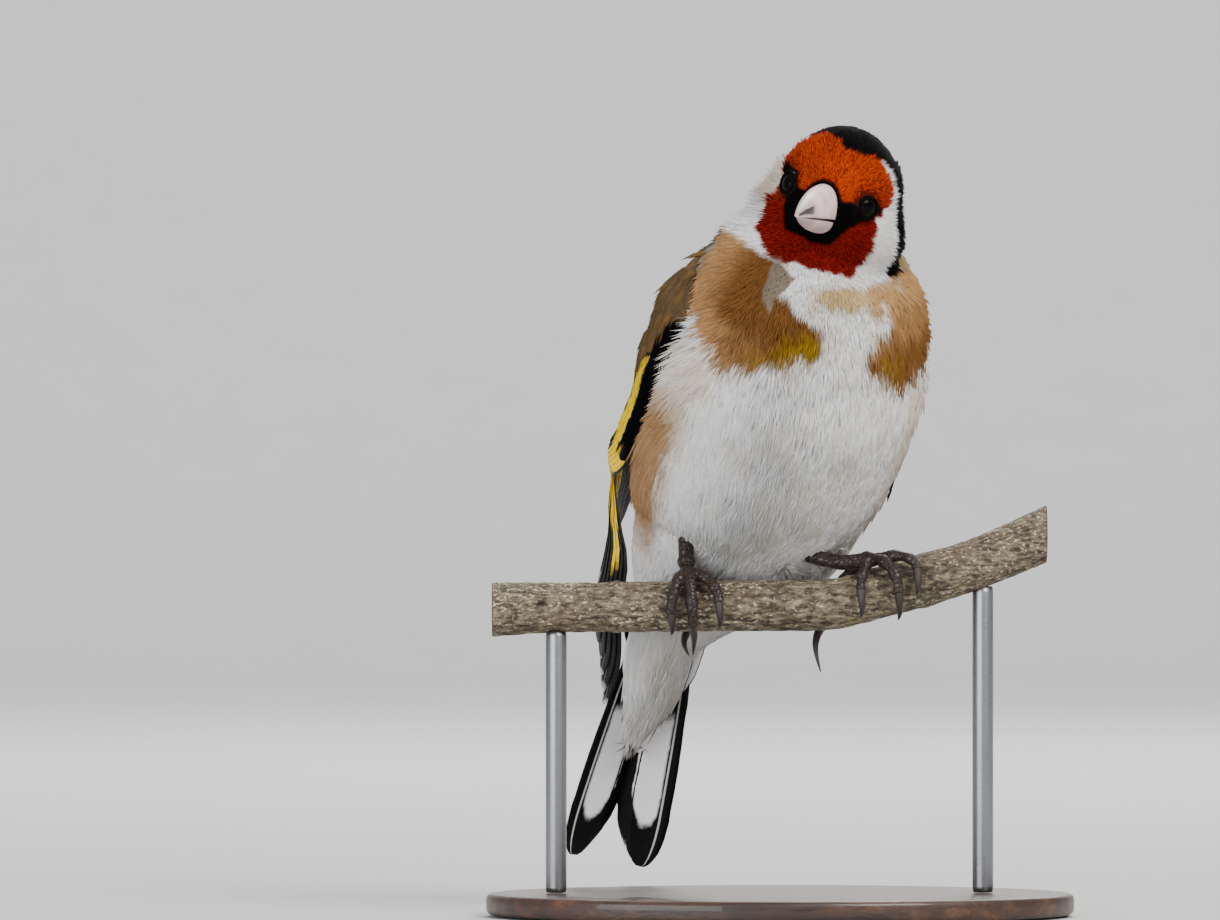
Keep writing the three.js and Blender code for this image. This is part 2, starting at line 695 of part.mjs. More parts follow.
const tailCut = trunkAt(TAIL_CUT_AT);
const neckCut = trunkAt(NECK.torsoCutAt);
const headCut = { middle: fromHead(0, 0, -NECK.headCut), along: headUp.clone() };
// What lies above or below a cut, half a gap away from it
function above(body, cut) {
  return beyond(body, cut.middle.clone().addScaledVector(cut.along, GAP / 2), cut.along);
}

function below(body, cut) {
  return beyond(body, cut.middle.clone().addScaledVector(cut.along, -GAP / 2), cut.along.clone().negate());
}

const tailParts = [below(trunk, tailCut), ...tailFeathers(), ...tailCoverts(-1), ...tailCoverts(1)];
const tailRoom = joined([beds, branchRoom, above(trunkSolid(GAP), tailCut)]);
add("tail", largest(joined(tailParts).subtract(tailRoom)), FINISH.black);
add("torso", largest(below(above(whole, tailCut), neckCut).subtract(legRoom).subtract(beds)), FINISH.breast);
add("neck", largest(below(above(whole, neckCut), headCut).subtract(beds)), FINISH.tawny);
add("head", largest(above(above(whole, headCut), neckCut)), FINISH.mask);

for (const [name, side] of sides) {
  add(`eye_${name}`, ballSolid(eyeSeat(side).middle, EYE.ball, 14), FINISH.eye);
  add(`wing_${name}`, largest(wingSolid(side).subtract(headRoom)), FINISH.black);
}

const nostrils = sides.map(([, side]) => {
  const { along, aside, up } = BILL.nostrilAt;
  return ballSolid(fromHead(BILL.root + along, side * aside, up + billLine(along)), BILL.nostril, 8);
});
const upperBill = billSolid(BILL.upperLong, BILL.upperHigh, 1).subtract(joined(nostrils));
add("bill_upper", largest(upperBill.subtract(headRoom)), FINISH.bill);
add("bill_lower", largest(billSolid(BILL.lowerLong, BILL.lowerDeep, -1).subtract(headRoom)), FINISH.bill);

add("branch", branch, FINISH.bark);
add("stand_base", standBase(), FINISH.wood);
STAND.rodsAt.forEach((x, i) => add(`stand_rod_${i + 1}`, standRod(x, branchRoom), FINISH.steel));

export default group;
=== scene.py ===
"""A life-size goldfinch on a cut length of branch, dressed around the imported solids.

Sizes are in millimetres and become metres where a mesh is made. The bird looks towards -Y, and
its own left side is towards +X. Heights are counted from LIFT above the stand's underside, as
they are in the solids.
"""

import logging
import math
from dataclasses import dataclass, field
from enum import Enum
from typing import Callable, Sequence

import bpy
import numpy as np
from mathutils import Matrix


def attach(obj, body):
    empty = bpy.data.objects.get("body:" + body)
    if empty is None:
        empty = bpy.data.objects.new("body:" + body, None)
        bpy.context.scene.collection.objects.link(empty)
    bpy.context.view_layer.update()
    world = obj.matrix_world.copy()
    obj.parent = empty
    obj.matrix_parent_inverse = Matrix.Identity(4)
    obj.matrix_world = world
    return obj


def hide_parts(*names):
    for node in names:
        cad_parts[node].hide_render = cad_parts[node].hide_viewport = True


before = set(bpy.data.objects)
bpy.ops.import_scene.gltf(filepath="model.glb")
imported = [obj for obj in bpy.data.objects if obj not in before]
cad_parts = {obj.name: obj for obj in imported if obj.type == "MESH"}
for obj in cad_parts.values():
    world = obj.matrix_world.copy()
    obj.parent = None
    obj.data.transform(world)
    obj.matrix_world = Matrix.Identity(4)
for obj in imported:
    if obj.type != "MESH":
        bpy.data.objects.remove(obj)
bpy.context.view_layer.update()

LOG = logging.getLogger("goldfinch")
MM = 0.001
LIFT = 2.0
SIDES = {"left": 1, "right": -1}
Array = np.ndarray
Real = float | Array
RAISED = np.array([0, 0, LIFT])
NO_MARK = (2.0, 2.0, 0.0)


# Small sums that the pieces share


def unit(v: Array) -> Array:
    """Returns the vectors at length one."""
    return v / np.maximum(np.linalg.norm(v, axis=-1, keepdims=True), 1e-9)


def mix(a: Real, b: Real, share: Real) -> Real:
    """Returns the value that lies a share of the way from a to b."""
    return a + (b - a) * share


def smooth(x: Real, low: Real, high: Real) -> Real:
    """Returns 0 below low, 1 above high and an even rise between."""
    t = np.clip((np.asarray(x, float) - low) / (high - low), 0, 1)
    return t * t * (3 - 2 * t)


def band(x: Real, low: Real, high: Real, soft: float) -> Real:
    """Returns 1 between low and high, easing to 0 over soft outside them."""
    return smooth(x, low - soft, low + soft) * (1 - smooth(x, high - soft, high + soft))


def dot(a: Array, b: Array) -> Array:
    """Returns the dot product of rows of vectors."""
    return (a * b).sum(-1)


def circle(count: int) -> Array:
    """Returns the turns of even steps round a circle."""
    return np.linspace(0, 2 * math.pi, count, endpoint=False)


def linear(code: int) -> Array:
    """Returns the linear colour of a hex colour code."""
    parts = np.array([code >> 16, code >> 8 & 255, code & 255]) / 255
    return np.where(parts < 0.04045, parts / 12.92, ((parts + 0.055) / 1.055) ** 2.4)


@dataclass(frozen=True)
class Curve:
    """A smooth curve through rows of numbers that stand at equal steps."""

    rows: Sequence[Sequence[float]]

    def at(self, t: Real) -> Array:
        """Returns the curve's rows at shares t of its length in steps."""
        p = np.asarray(self.rows, float)
        n = len(p) - 1
        x = np.clip(np.asarray(t, float), 0, 1) * n
        i = np.minimum(np.floor(x).astype(int), n - 1)
        w = (x - i)[..., None]
        full = np.vstack([2 * p[0] - p[1], p, 2 * p[n] - p[n - 1]])
        a, b, c, d = (full[i + k] for k in range(4))
        rise = 0.5 * (c - a)
        square = a - 2.5 * b + 2 * c - 0.5 * d
        cube = 1.5 * (b - c) + 0.5 * (d - a)
        return b + rise * w + square * w**2 + cube * w**3


@dataclass(frozen=True)
class Ripple:
    """A soft, repeatable noise from -1 to 1, as a sum of waves across space."""

    length: float
    seed: int
    waves: int = 9

    def at(self, points: Array) -> Array:
        """Returns the noise at each point, given in millimetres."""
        rng = np.random.default_rng(self.seed)
        ways = unit(rng.normal(size=(self.waves, points.shape[-1])))
        counts = 2 * math.pi / self.length * rng.uniform(0.6, 1.7, self.waves)
        phases = rng.uniform(0, 2 * math.pi, self.waves)
        return np.sin(points @ (ways * counts[:, None]).T + phases).sum(-1) / math.sqrt(self.waves * 1.6)


# Meshes


@dataclass
class Parts:
    """Closed parts that are gathered into one mesh."""

    points: list = field(default_factory=list)
    faces: list = field(default_factory=list)
    charts: list = field(default_factory=list)
    values: dict = field(default_factory=dict)
    count: int = 0

    def add(self, points: Array, faces: list, chart: Array | None = None, **values: Real) -> None:
        """Adds a closed part.

        Args:
            points: its vertices in millimetres.
            faces: its faces, as numbers of its own vertices.
            chart: the place of each vertex on the part's own flat map.
            values: named numbers or vectors, one for the whole part or one for each vertex.
        """
        self.points.append(points)
        self.faces += [tuple(int(k) + self.count for k in face) for face in faces]
        self.charts.append(np.zeros((len(points), 2)) if chart is None else chart)
        for name, value in values.items():
            value = np.asarray(value, float)
            whole = value.ndim == 0 or len(value) != len(points)
            shape = (len(points),) + (value.shape if whole else value.shape[1:])
            self.values.setdefault(name, []).append(np.broadcast_to(value, shape))
        self.count += len(points)

    def build(self, name: str) -> bpy.types.Object:
        """Returns the mesh object of all parts, in metres, with its map and attributes."""
        mesh = bpy.data.meshes.new(name)
        points = np.concatenate(self.points) + RAISED
        mesh.from_pydata((points * MM).tolist(), [], self.faces)
        mesh.polygons.foreach_set("use_smooth", np.ones(len(mesh.polygons), bool))
        write_map(mesh, "chart", np.concatenate(self.charts))
        for key, rows in self.values.items():
            write_attribute(mesh, key, np.concatenate(rows))
        mesh.update()
        return show(name, mesh)


def show(name: str, data: bpy.types.ID) -> bpy.types.Object:
    """Returns a new object of the scene that shows a mesh, a light or a camera."""
    obj = bpy.data.objects.new(name, data)
    bpy.context.scene.collection.objects.link(obj)
    return obj


ATTRIBUTE_KINDS = {1: ("FLOAT", "value"), 3: ("FLOAT_VECTOR", "vector"), 4: ("FLOAT_COLOR", "color")}


def write_attribute(mesh: bpy.types.Mesh, name: str, rows: Array) -> None:
    """Stores a number, vector or colour on each vertex of a mesh."""
    kind, key = ATTRIBUTE_KINDS[1 if rows.ndim == 1 else rows.shape[1]]
    made = mesh.attributes.get(name) or mesh.attributes.new(name, kind, "POINT")
    made.data.foreach_set(key, np.ascontiguousarray(rows, np.float32).ravel())


def write_map(mesh: bpy.types.Mesh, name: str, places: Array) -> None:
    """Gives a mesh a flat map from the place of each of its vertices."""
    corners = read_rows(mesh.loops, "vertex_index", 1, np.int32)
    layer = mesh.uv_layers.new(name=name)
    layer.data.foreach_set("uv", places[corners].astype(np.float32).ravel())


def read_rows(items: Sequence, key: str, wide: int = 3, kind: type = np.float32) -> Array:
    """Reads one thing of all vertices, corners, edges or faces of a mesh.

    Args:
        items: the mesh's own list of them.
        key: what is read of each.
        wide: how many numbers that is.
        kind: the kind of number.

    Returns:
        A row of numbers for each item, or one number for each if wide is 1.
    """
    rows = np.zeros(len(items) * wide, kind)
    items.foreach_get(key, rows)
    return rows.reshape(-1, wide) if wide > 1 else rows


def read_attribute(mesh: bpy.types.Mesh, name: str) -> Array:
    """Returns a number or vector attribute of a mesh, a row for each vertex."""
    found = mesh.attributes[name]
    if found.data_type == "FLOAT_VECTOR":
        return read_rows(found.data, "vector")
    return read_rows(found.data, "value", 1)


def read_points(mesh: bpy.types.Mesh) -> Array:
    """Returns a mesh's vertices in millimetres, counted from LIFT."""
    return read_rows(mesh.vertices, "co").astype(float) / MM - RAISED


def write_points(mesh: bpy.types.Mesh, points: Array) -> None:
    """Moves a mesh's vertices to points in millimetres, counted from LIFT."""
    rows = (points + RAISED) * MM
    mesh.vertices.foreach_set("co", rows.astype(np.float32).ravel())
    mesh.update()


def read_normals(mesh: bpy.types.Mesh) -> Array:
    """Returns the normal at each vertex of a mesh."""
    return read_rows(mesh.vertex_normals, "vector").astype(float)


def settle(obj: bpy.types.Object) -> bpy.types.Object:
    """Turns an object and its modifiers into a plain mesh, and returns the object."""
    bpy.context.view_layer.update()
    graph = bpy.context.evaluated_depsgraph_get()
    shaped = obj.evaluated_get(graph)
    mesh = bpy.data.meshes.new_from_object(shaped, preserve_all_data_layers=True, depsgraph=graph)
    obj.modifiers.clear()
    obj.data = mesh
    return obj


def fuse(obj: bpy.types.Object, voxel: float, rounds: int, factor: float = 0.5) -> bpy.types.Object:
    """Fuses an object's parts into one closed skin.

    Args:
        obj: the object of overlapping closed parts.
        voxel: the size of the skin's steps, in millimetres.
        rounds: how many times it is smoothed.
        factor: how strongly.

    Returns:
        The object with its new mesh.
    """
    remesh = obj.modifiers.new("fuse", "REMESH")
    remesh.mode = "VOXEL"
    remesh.voxel_size = voxel * MM
    remesh.use_smooth_shade = True
    if rounds:
        soften = obj.modifiers.new("soften", "SMOOTH")
        soften.factor = factor
        soften.iterations = rounds
    return settle(obj)


def loft(rings: Array, closed: bool = True) -> tuple[Array, list]:
    """Returns the vertices and faces of a closed tube through rings of points.

    Args:
        rings: an array of rings by points by 3.
        closed: whether the two ends get a cap.
    """
    rows, around = rings.shape[:2]
    points = rings.reshape(-1, 3)
    ring = np.arange(around)
    after = np.roll(ring, -1)
    faces = []
    for k in range(rows - 1):
        a, b = k * around, (k + 1) * around
        faces += list(zip(a + ring, a + after, b + after, b + ring))
    if closed:
        first, last = len(points), len(points) + 1
        points = np.vstack([points, rings[0].mean(0), rings[-1].mean(0)])
        end = (rows - 1) * around
        faces += [(first, q, p) for p, q in zip(ring, after)]
        faces += [(last, end + p, end + q) for p, q in zip(ring, after)]
    return points, faces


def outward(points: Array, faces: list) -> list:
    """Returns the faces of a closed part, turned so that they point outwards."""
    total = 0.0
    for face in faces:
        a = points[face[0]]
        for k in range(1, len(face) - 1):
            total += float(np.dot(a, np.cross(points[face[k]], points[face[k + 1]])))
    return faces if total > 0 else [tuple(reversed(face)) for face in faces]


def leaf(upper: Array, lower: Array) -> tuple[Array, list]:
    """Joins two grids of points that lie one over the other into a closed leaf.

    Args:
        upper: rows of points along the leaf, on its upper side.
        lower: the same on its lower side.

    Returns:
        The leaf's vertices and faces.
    """
    rows, across = upper.shape[:2]
    points = np.concatenate([upper.reshape(-1, 3), lower.reshape(-1, 3)])
    under = rows * across
    faces = []
    for i in range(rows - 1):
        a = i * across
        b = a + across
        for j in range(across - 1):
            faces.append((a + j, b + j, b + j + 1, a + j + 1))
            faces.append((under + a + j, under + a + j + 1, under + b + j + 1, under + b + j))
        last = across - 1
        faces.append((a, under + a, under + b, b))
        faces.append((a + last, b + last, under + b + last, under + a + last))
    end = (rows - 1) * across
    for j in range(across - 1):
        faces.append((j, j + 1, under + j + 1, under + j))
        faces.append((end + j, under + end + j, under + end + j + 1, end + j + 1))
    return points, faces


# Node trees


@dataclass(frozen=True)
class Value:
    """A socket whose sums are written as Python sums."""

    graph: "Graph"
    socket: bpy.types.NodeSocket

    def sum(self, operation: str, *others: "Value | float") -> "Value":
        """Returns the result of a Math node on this value and others."""
        inputs = dict(enumerate((self, *others)))
        return self.graph.node("ShaderNodeMath", {"operation": operation}, inputs).out(0)

    def __add__(self, other: "Value | float") -> "Value":
        """Returns this value and another added up."""
        return self.sum("ADD", other)

    __radd__ = __add__

    def __sub__(self, other: "Value | float") -> "Value":
        """Returns this value less another."""
        return self.sum("SUBTRACT", other)

    def __rsub__(self, other: float) -> "Value":
        """Returns a number less this value."""
        inputs = {0: other, 1: self}
        return self.graph.node("ShaderNodeMath", {"operation": "SUBTRACT"}, inputs).out(0)

    def __mul__(self, other: "Value | float") -> "Value":
        """Returns this value times another."""
        return self.sum("MULTIPLY", other)

    __rmul__ = __mul__

    def step(self, low: float, high: float) -> "Value":
        """Returns an even rise from 0 to 1 as this value goes from low to high."""
        settings = {"interpolation_type": "SMOOTHSTEP"}
        inputs = {"Value": self, "From Min": low, "From Max": high}
        return self.graph.node("ShaderNodeMapRange", settings, inputs).out("Result")


Paint = Value | Sequence[float] | int


@dataclass(frozen=True)
class Made:
    """A node that has been made."""

    graph: "Graph"
    node: bpy.types.Node

    def out(self, name: str | int) -> Value:
        """Returns one of the node's outputs."""
        return Value(self.graph, self.node.outputs[name])


@dataclass(frozen=True)
class Graph:
    """A node tree that is written in code."""

    tree: bpy.types.NodeTree

    def node(self, kind: str, settings: dict | None = None, inputs: dict | None = None) -> Made:
        """Makes a node.

        Args:
            kind: the node's type.
            settings: its properties, or the stops of its ramp, which are set first.
            inputs: the values or links of its sockets, by name or number.

        Returns:
            The node that was made.
        """
        made = self.tree.nodes.new(kind)
        for key, value in (settings or {}).items():
            if key == "stops":
                self.set_stops(made.color_ramp, value)
            else:
                setattr(made, key, value)
        for key, value in (inputs or {}).items():
            socket = made.inputs[key]
            if isinstance(value, Value):
                self.tree.links.new(value.socket, socket)
            else:
                socket.default_value = value
        return Made(self, made)

    def set_stops(self, ramp: bpy.types.ColorRamp, stops: Sequence[tuple[float, Paint]]) -> None:
        """Sets the stops of a colour ramp."""
        while len(ramp.elements) < len(stops):
            ramp.elements.new(0.5)
        for element, (place, colour) in zip(ramp.elements, stops):
            element.position = place
            element.color = self.paint(colour)

    def noise(self, place: Value, scale: float, detail: float = 3, rough: float = 0.55) -> Value:
        """Returns a noise from 0 to 1 at a place."""
        inputs = {"Vector": place, "Scale": scale, "Detail": detail, "Roughness": rough}
        return self.node("ShaderNodeTexNoise", None, inputs).out("Fac")

    def blend(self, share: Value | float, first: Paint, second: Paint) -> Value:
        """Returns the colour that lies a share of the way from the first to the second."""
        settings = {"data_type": "RGBA"}
        inputs = {0: share, 6: self.paint(first), 7: self.paint(second)}
        return self.node("ShaderNodeMix", settings, inputs).out(2)

    @staticmethod
    def paint(colour: Paint) -> Value | tuple:
        """Returns a link, a linear colour or a hex colour code as a socket takes it."""
        if isinstance(colour, Value):
            return colour
        return (*(linear(colour) if isinstance(colour, int) else colour), 1)

    def ramp(self, share: Value, *stops: tuple[float, Paint]) -> Value:
        """Returns the colour of a ramp at a share."""
        return self.node("ShaderNodeValToRGB", {"stops": stops}, {"Fac": share}).out("Color")

    def attribute(self, name: str, part: str = "Fac") -> Value:
        """Returns an attribute of the mesh."""
        return self.node("ShaderNodeAttribute", {"attribute_name": name}).out(part)

    def place(self, stretch: Sequence[float] = (1, 1, 1)) -> Value:
        """Returns the place on the object, stretched along its axes."""
        return self.stretched(self.node("ShaderNodeTexCoord").out("Object"), stretch)

    def chart(self) -> tuple[Value, Value, Value]:
        """Returns the place on the piece's own flat map, and its two numbers."""
        where = self.node("ShaderNodeUVMap", {"uv_map": "chart"}).out("UV")
        parts = self.node("ShaderNodeSeparateXYZ", None, {"Vector": where})
        return where, parts.out("X"), parts.out("Y")

    def stretched(self, where: Value, stretch: Sequence[float]) -> Value:
        """Returns a place, stretched along its axes."""
        return self.node("ShaderNodeMapping", None, {"Vector": where, "Scale": stretch}).out(0)

    def bump(self, height: Value, depth: float) -> Value:
        """Returns the normal of a surface with a relief of the given depth in metres."""
        inputs = {"Height": height, "Distance": depth, "Strength": 1.0}
        return self.node("ShaderNodeBump", None, inputs).out("Normal")

    def surface(self, **inputs: Value | float) -> None:
        """Ends the tree in a surface with the given inputs, with _ for each space."""
        named = {key.replace("_", " "): value for key, value in inputs.items()}
        shader = self.node("ShaderNodeBsdfPrincipled", None, named).out("BSDF")
        self.node("ShaderNodeOutputMaterial", None, {"Surface": shader})


class Finish:
    """A finish that is made once and then shared by its pieces."""

    name = "finish"
    made: dict = {}

    def draw(self, graph: Graph) -> None:
        """Draws the finish in an empty tree."""

    def material(self) -> bpy.types.Material:
        """Returns the finish as a material."""
        if self.name not in Finish.made:
            material = bpy.data.materials.new(self.name)
            material.use_nodes = True
            material.node_tree.nodes.clear()
            self.draw(Graph(material.node_tree))
            Finish.made[self.name] = material
        return Finish.made[self.name]


@dataclass(frozen=True)
class DownFinish(Finish):
    """Body feathers: the colour of each tuft comes from its own attribute."""

    name: str = "down"
    roughness: float = 0.72
    grain: float = 900.0

    def draw(self, graph: Graph) -> None:
        """Draws the colour of the tufts with a faint mottling."""
        colour = graph.attribute("plumage", "Color")
        mottle = graph.noise(graph.place(), self.grain, 2)
        shade = graph.blend(mottle * 0.16, colour, (0.004, 0.0035, 0.003))
        graph.surface(Base_Color=shade, Roughness=self.roughness, Specular_IOR_Level=0.03)


@dataclass(frozen=True)
class SkinFinish(Finish):
    """The skin under the tufts, in the same markings, painted darker as shade between the feathers."""

    name: str = "skin_under_down"
    streaks: float = 1400.0

    def draw(self, graph: Graph) -> None:
        """Draws the markings with fine dark streaks and their relief."""
        colour = graph.attribute("plumage", "Color")
        streak = graph.noise(graph.place((1, 1, 0.25)), self.streaks, 3)
        shade = graph.blend(streak * 0.25, colour, (0.012, 0.01, 0.009))
        normal = graph.bump(streak, 0.0002)
        graph.surface(Base_Color=shade, Roughness=0.9, Specular_IOR_Level=0.1, Normal=normal)


@dataclass(frozen=True)
class VaneFinish(Finish):
    """Flight, covert and tail feathers, from the chart of each vane and its marks."""

    name: str = "vane"
    black: int = 0x060608
    yellow: int = 0xFFD800
    white: int = 0xFFFFFF
    brown: int = 0x7A5A3C
    sheen: int = 0x121013
    barbs: float = 420.0

    def draw(self, graph: Graph) -> None:
        """Draws the yellow, white and brown marks, the barbs and the shaft.

        The marks are attributes of each vane: yellow holds where its yellow starts and ends
        and how far in from the outer edge it starts, white the same for its white, and tint
        holds the pale tip, the brown tint and how strongly the shaft shows.
        """
        _, along, across = graph.chart()
        fray = graph.noise(graph.place(), 700, 2) - 0.5
        along = along + fray * 0.05
        frayed = across + fray * 0.06
        bow = (across - 0.6) * (across - 0.6) * 0.7
        cloud = graph.noise(graph.place(), 300, 2)
        colour = graph.blend(cloud * 0.5, self.black, self.sheen)
        tint = graph.node("ShaderNodeSeparateXYZ", None, {0: graph.attribute("tint", "Vector")})
        colour = graph.blend(tint.out("Y") * (0.75 + fray), colour, self.brown)
        for name, paint in (("white", self.white), ("yellow", self.yellow)):
            mark = graph.node("ShaderNodeSeparateXYZ", None, {0: graph.attribute(name, "Vector")})
            start, end, inner = (mark.out(axis) for axis in "XYZ")
            reach = end - bow - along if name == "white" else end - along
            share = (along - start).step(0.0, 0.05) * reach.step(0.0, 0.04)
            share = share * (frayed - inner).step(0.0, 0.08) * (0.97 - frayed).step(0.0, 0.02)
            colour = graph.blend(share, colour, paint)
        tip = (along - 1 + tint.out("X")).step(0.0, 0.03)
        colour = graph.blend(tip * 0.85, colour, self.white)
        shaft = graph.attribute("shaft")
        near = (across - shaft).sum("ABSOLUTE")
        rib = (0.035 - near).step(0.0, 0.02)
        colour = graph.blend(rib * tint.out("Z"), colour, 0xD9D6D0)
        slant = along * self.barbs + near * 26.0
        barb = slant.sum("SINE") * 0.5 + 0.5
        colour = graph.blend(barb * 0.07, colour, (0.004, 0.004, 0.005))
        normal = graph.bump(barb * 0.4 + rib * 2.0, 0.00006)
        rough = 0.55 - barb * 0.1
        graph.surface(Base_Color=colour, Roughness=rough, Specular_IOR_Level=0.15, Normal=normal)


@dataclass(frozen=True)
class BillFinish(Finish):
    """Pinkish white horn with painted grey shade towards the tip and a dark patch near the tip."""

    name: str = "bill_horn"
    pale: int = 0xF4DEDF
    pink: int = 0xE6BABB
    # the painted shade towards the tip
    grey: int = 0x8F8484
    dark: int = 0x1E181B
    streak: float = 0.95

    def draw(self, graph: Graph) -> None:
        """Draws the horn from the bill's own chart, along and around."""
        _, along, around = graph.chart()
        cloud = graph.noise(graph.place(), 420, 4)
        colour = graph.blend(cloud.step(0.35, 0.7), self.pale, self.pink)
        # painted shade: the horn greyer towards the tip, off to one side of each half
        worn = along.step(0.55, 0.9) * (0.3 - (around - 0.45).sum("ABSOLUTE")).step(0.0, 0.2)
        colour = graph.blend(worn * 0.5, colour, self.grey)
        near = (around - 0.35 + cloud * 0.05).sum("ABSOLUTE")
        streak = (0.06 - near).step(0.0, 0.03) * along.step(0.62, 0.74) * (1 - along.step(0.97, 1.0))
        colour = graph.blend(streak * self.streak, colour, self.dark)
        fine = graph.noise(graph.place(), 2600, 3)
        colour = graph.blend(fine.step(0.55, 0.8) * 0.35, colour, 0xB98F8A)
        normal = graph.bump(fine * 0.6 + cloud, 0.00008)
        graph.surface(
            Base_Color=colour,
            Roughness=0.3 + fine * 0.15,
            Subsurface_Weight=0.15,
            Subsurface_Scale=0.001,
            Coat_Weight=0.2,
            Normal=normal,
        )


@dataclass(frozen=True)
class EyeFinish(Finish):
    """A very dark brown eye with a black pupil under a clear cornea."""

    name: str = "eye_wet"

    def draw(self, graph: Graph) -> None:
        """Draws the pupil and iris from the eye's own chart."""
        _, along, _ = graph.chart()
        fibre = graph.noise(graph.place(), 1500, 3)
        iris = graph.blend(fibre, 0x0E0806, 0x1E120B)
        colour = graph.blend(along.step(0.32, 0.36), (0.002, 0.002, 0.002), iris)
        colour = graph.blend(along.step(0.72, 0.8), colour, 0x0C0A0A)
        graph.surface(Base_Color=colour, Roughness=0.05, Specular_IOR_Level=0.05)


@dataclass(frozen=True)
class LidFinish(Finish):
    """Bare, wrinkled dark skin round the eye."""

    name: str = "lid_skin"

    def draw(self, graph: Graph) -> None:
        """Draws the wrinkled skin."""
        fold = graph.noise(graph.place(), 2200, 4)
        colour = graph.ramp(fold, (0.3, 0x030303), (0.75, 0x0E0C0C))
        normal = graph.bump(fold, 0.0001)
        graph.surface(Base_Color=colour, Roughness=0.85, Specular_IOR_Level=0.04, Normal=normal)


@dataclass(frozen=True)
class LegFinish(Finish):
    """Dark brown scaly skin, paler on the edges of the scutes."""

    name: str = "leg_scutes"
    dark: int = 0x1E1512
    middle: int = 0x281B14
    pale: int = 0x503C31

    def draw(self, graph: Graph) -> None:
        """Draws the scaly skin with edges pale from wear."""
        place = graph.place()
        settings = {"feature": "DISTANCE_TO_EDGE"}
        cells = graph.node("ShaderNodeTexVoronoi", settings, {"Vector": place, "Scale": 1500.0})
        edge = cells.out("Distance").step(0.0, 0.12)
        cloud = graph.noise(place, 500, 4)
        colour = graph.ramp(cloud, (0.25, self.dark), (0.55, self.middle), (0.85, self.pale))
        worn = graph.attribute("worn")
        colour = graph.blend(worn * 0.6, colour, self.pale)
        colour = graph.blend((1 - edge) * 0.5, colour, self.dark)
        normal = graph.bump(edge + cloud, 0.00012)
        graph.surface(Base_Color=colour, Roughness=0.42 - worn * 0.1, Normal=normal)


@dataclass(frozen=True)
class ClawFinish(Finish):
    """Dark polished horn, browner at its root."""

    name: str = "claw_horn"

    def draw(self, graph: Graph) -> None:
        """Draws the horn along the claw's own chart."""
        where, along, _ = graph.chart()
        streak = graph.noise(graph.stretched(where, (3, 30, 1)), 4, 3)
        colour = graph.blend(along, 0x2A1F1B, 0x0A0809)
        colour = graph.blend(streak * 0.2, colour, 0x54453F)
        normal = graph.bump(streak, 0.00005)
        graph.surface(Base_Color=colour, Roughness=0.28 + streak * 0.2, Normal=normal)


@dataclass(frozen=True)
class BarkFinish(Finish):
    """Grey-brown bark with long cracks and pale yellowish flecks of lichen."""

    name: str = "bark_twig"

    def draw(self, graph: Graph) -> None:
        """Draws the bark's cracks, plates and flecks along the branch, with painted shade in its low
        places.
        """
        warp = graph.noise(graph.place(), 160, 3) - 0.5
        long = graph.noise(graph.place((0.4, 1, 1)), 1500, 6, 0.7)
        broad = graph.noise(graph.place((0.6, 1, 1)), 170, 5)
        grains = graph.noise(graph.place((0.6, 1, 1)), 2600, 3, 0.6) + warp * 0.3
        stops = (0.3, 0x17120F), (0.43, 0x4A4136), (0.57, 0x80735F), (0.74, 0xB9AD92)
        colour = graph.ramp(long, *stops)
        colour = graph.blend(broad.step(0.42, 0.72) * 0.45, colour, 0x5B4632)
        lichen = grains.step(0.56, 0.66) * broad.step(0.2, 0.55)
        colour = graph.blend(lichen * 0.85, colour, 0xDAD2B4)
        moss = grains.step(0.5, 0.6) * (0.42 - broad).step(0.0, 0.1)
        colour = graph.blend(moss * 0.5, colour, 0x7C7330)
        # painted shade: the bark darker in its low places, the cracks between its ridges
        relief = graph.attribute("relief")
        colour = graph.blend((0.45 - relief).step(0.0, 0.35) * 0.55, colour, 0x1D1712)
        normal = graph.bump(long + lichen * 0.4 + relief, 0.0003)
        graph.surface(Base_Color=colour, Roughness=0.8, Specular_IOR_Level=0.3, Normal=normal)


@dataclass(frozen=True)
class CutFinish(Finish):
    """The sawn end of a branch, with its rings and pith."""

    name: str = "cut_wood"

    def draw(self, graph: Graph) -> None:
        """Draws rings by how far a point lies from the pith."""
        _, out, turn = graph.chart()
        warp = graph.noise(graph.place(), 400, 3)
        ring = ((out + warp * 0.06) * 70.0).sum("SINE") * 0.5 + 0.5
        colour = graph.blend(ring, 0xB99767, 0xD9BE92)
        colour = graph.blend((0.09 - out).step(0.0, 0.04), colour, 0x6B4A2C)
        colour = graph.blend(out.step(0.86, 0.93), colour, 0x3C2F22)
        graph.surface(Base_Color=colour, Roughness=0.75, Normal=graph.bump(ring + warp, 0.00008))


@dataclass(frozen=True)
class PlinthFinish(Finish):
    """Dark stained and waxed wood."""

    name: str = "plinth_wood"

    def draw(self, graph: Graph) -> None:
        """Draws the long grain with its pores."""
        grain = graph.noise(graph.place((0.12, 1, 1)), 420, 5, 0.6)
        pores = graph.noise(graph.place((0.06, 1, 1)), 2600, 2)
        colour = graph.ramp(grain, (0.3, 0x24160E), (0.55, 0x422A1B), (0.8, 0x6A452B))
        colour = graph.blend((0.42 - pores).step(0.0, 0.1) * 0.6, colour, 0x150D08)
        normal = graph.bump(grain + pores, 0.00006)
        rough = 0.38 + pores * 0.2
        graph.surface(Base_Color=colour, Roughness=rough, Coat_Weight=0.25, Normal=normal)


@dataclass(frozen=True)
class SteelFinish(Finish):
    """Brushed steel rod."""

    name: str = "rod_steel"

    def draw(self, graph: Graph) -> None:
        """Draws fine turning marks round the rod."""
        marks = graph.noise(graph.place((1, 1, 12)), 900, 3)
        colour = graph.blend(marks, 0x77797C, 0xA3A5A8)
        normal = graph.bump(marks, 0.00002)
        graph.surface(Base_Color=colour, Metallic=1.0, Roughness=0.26 + marks * 0.18, Normal=normal)


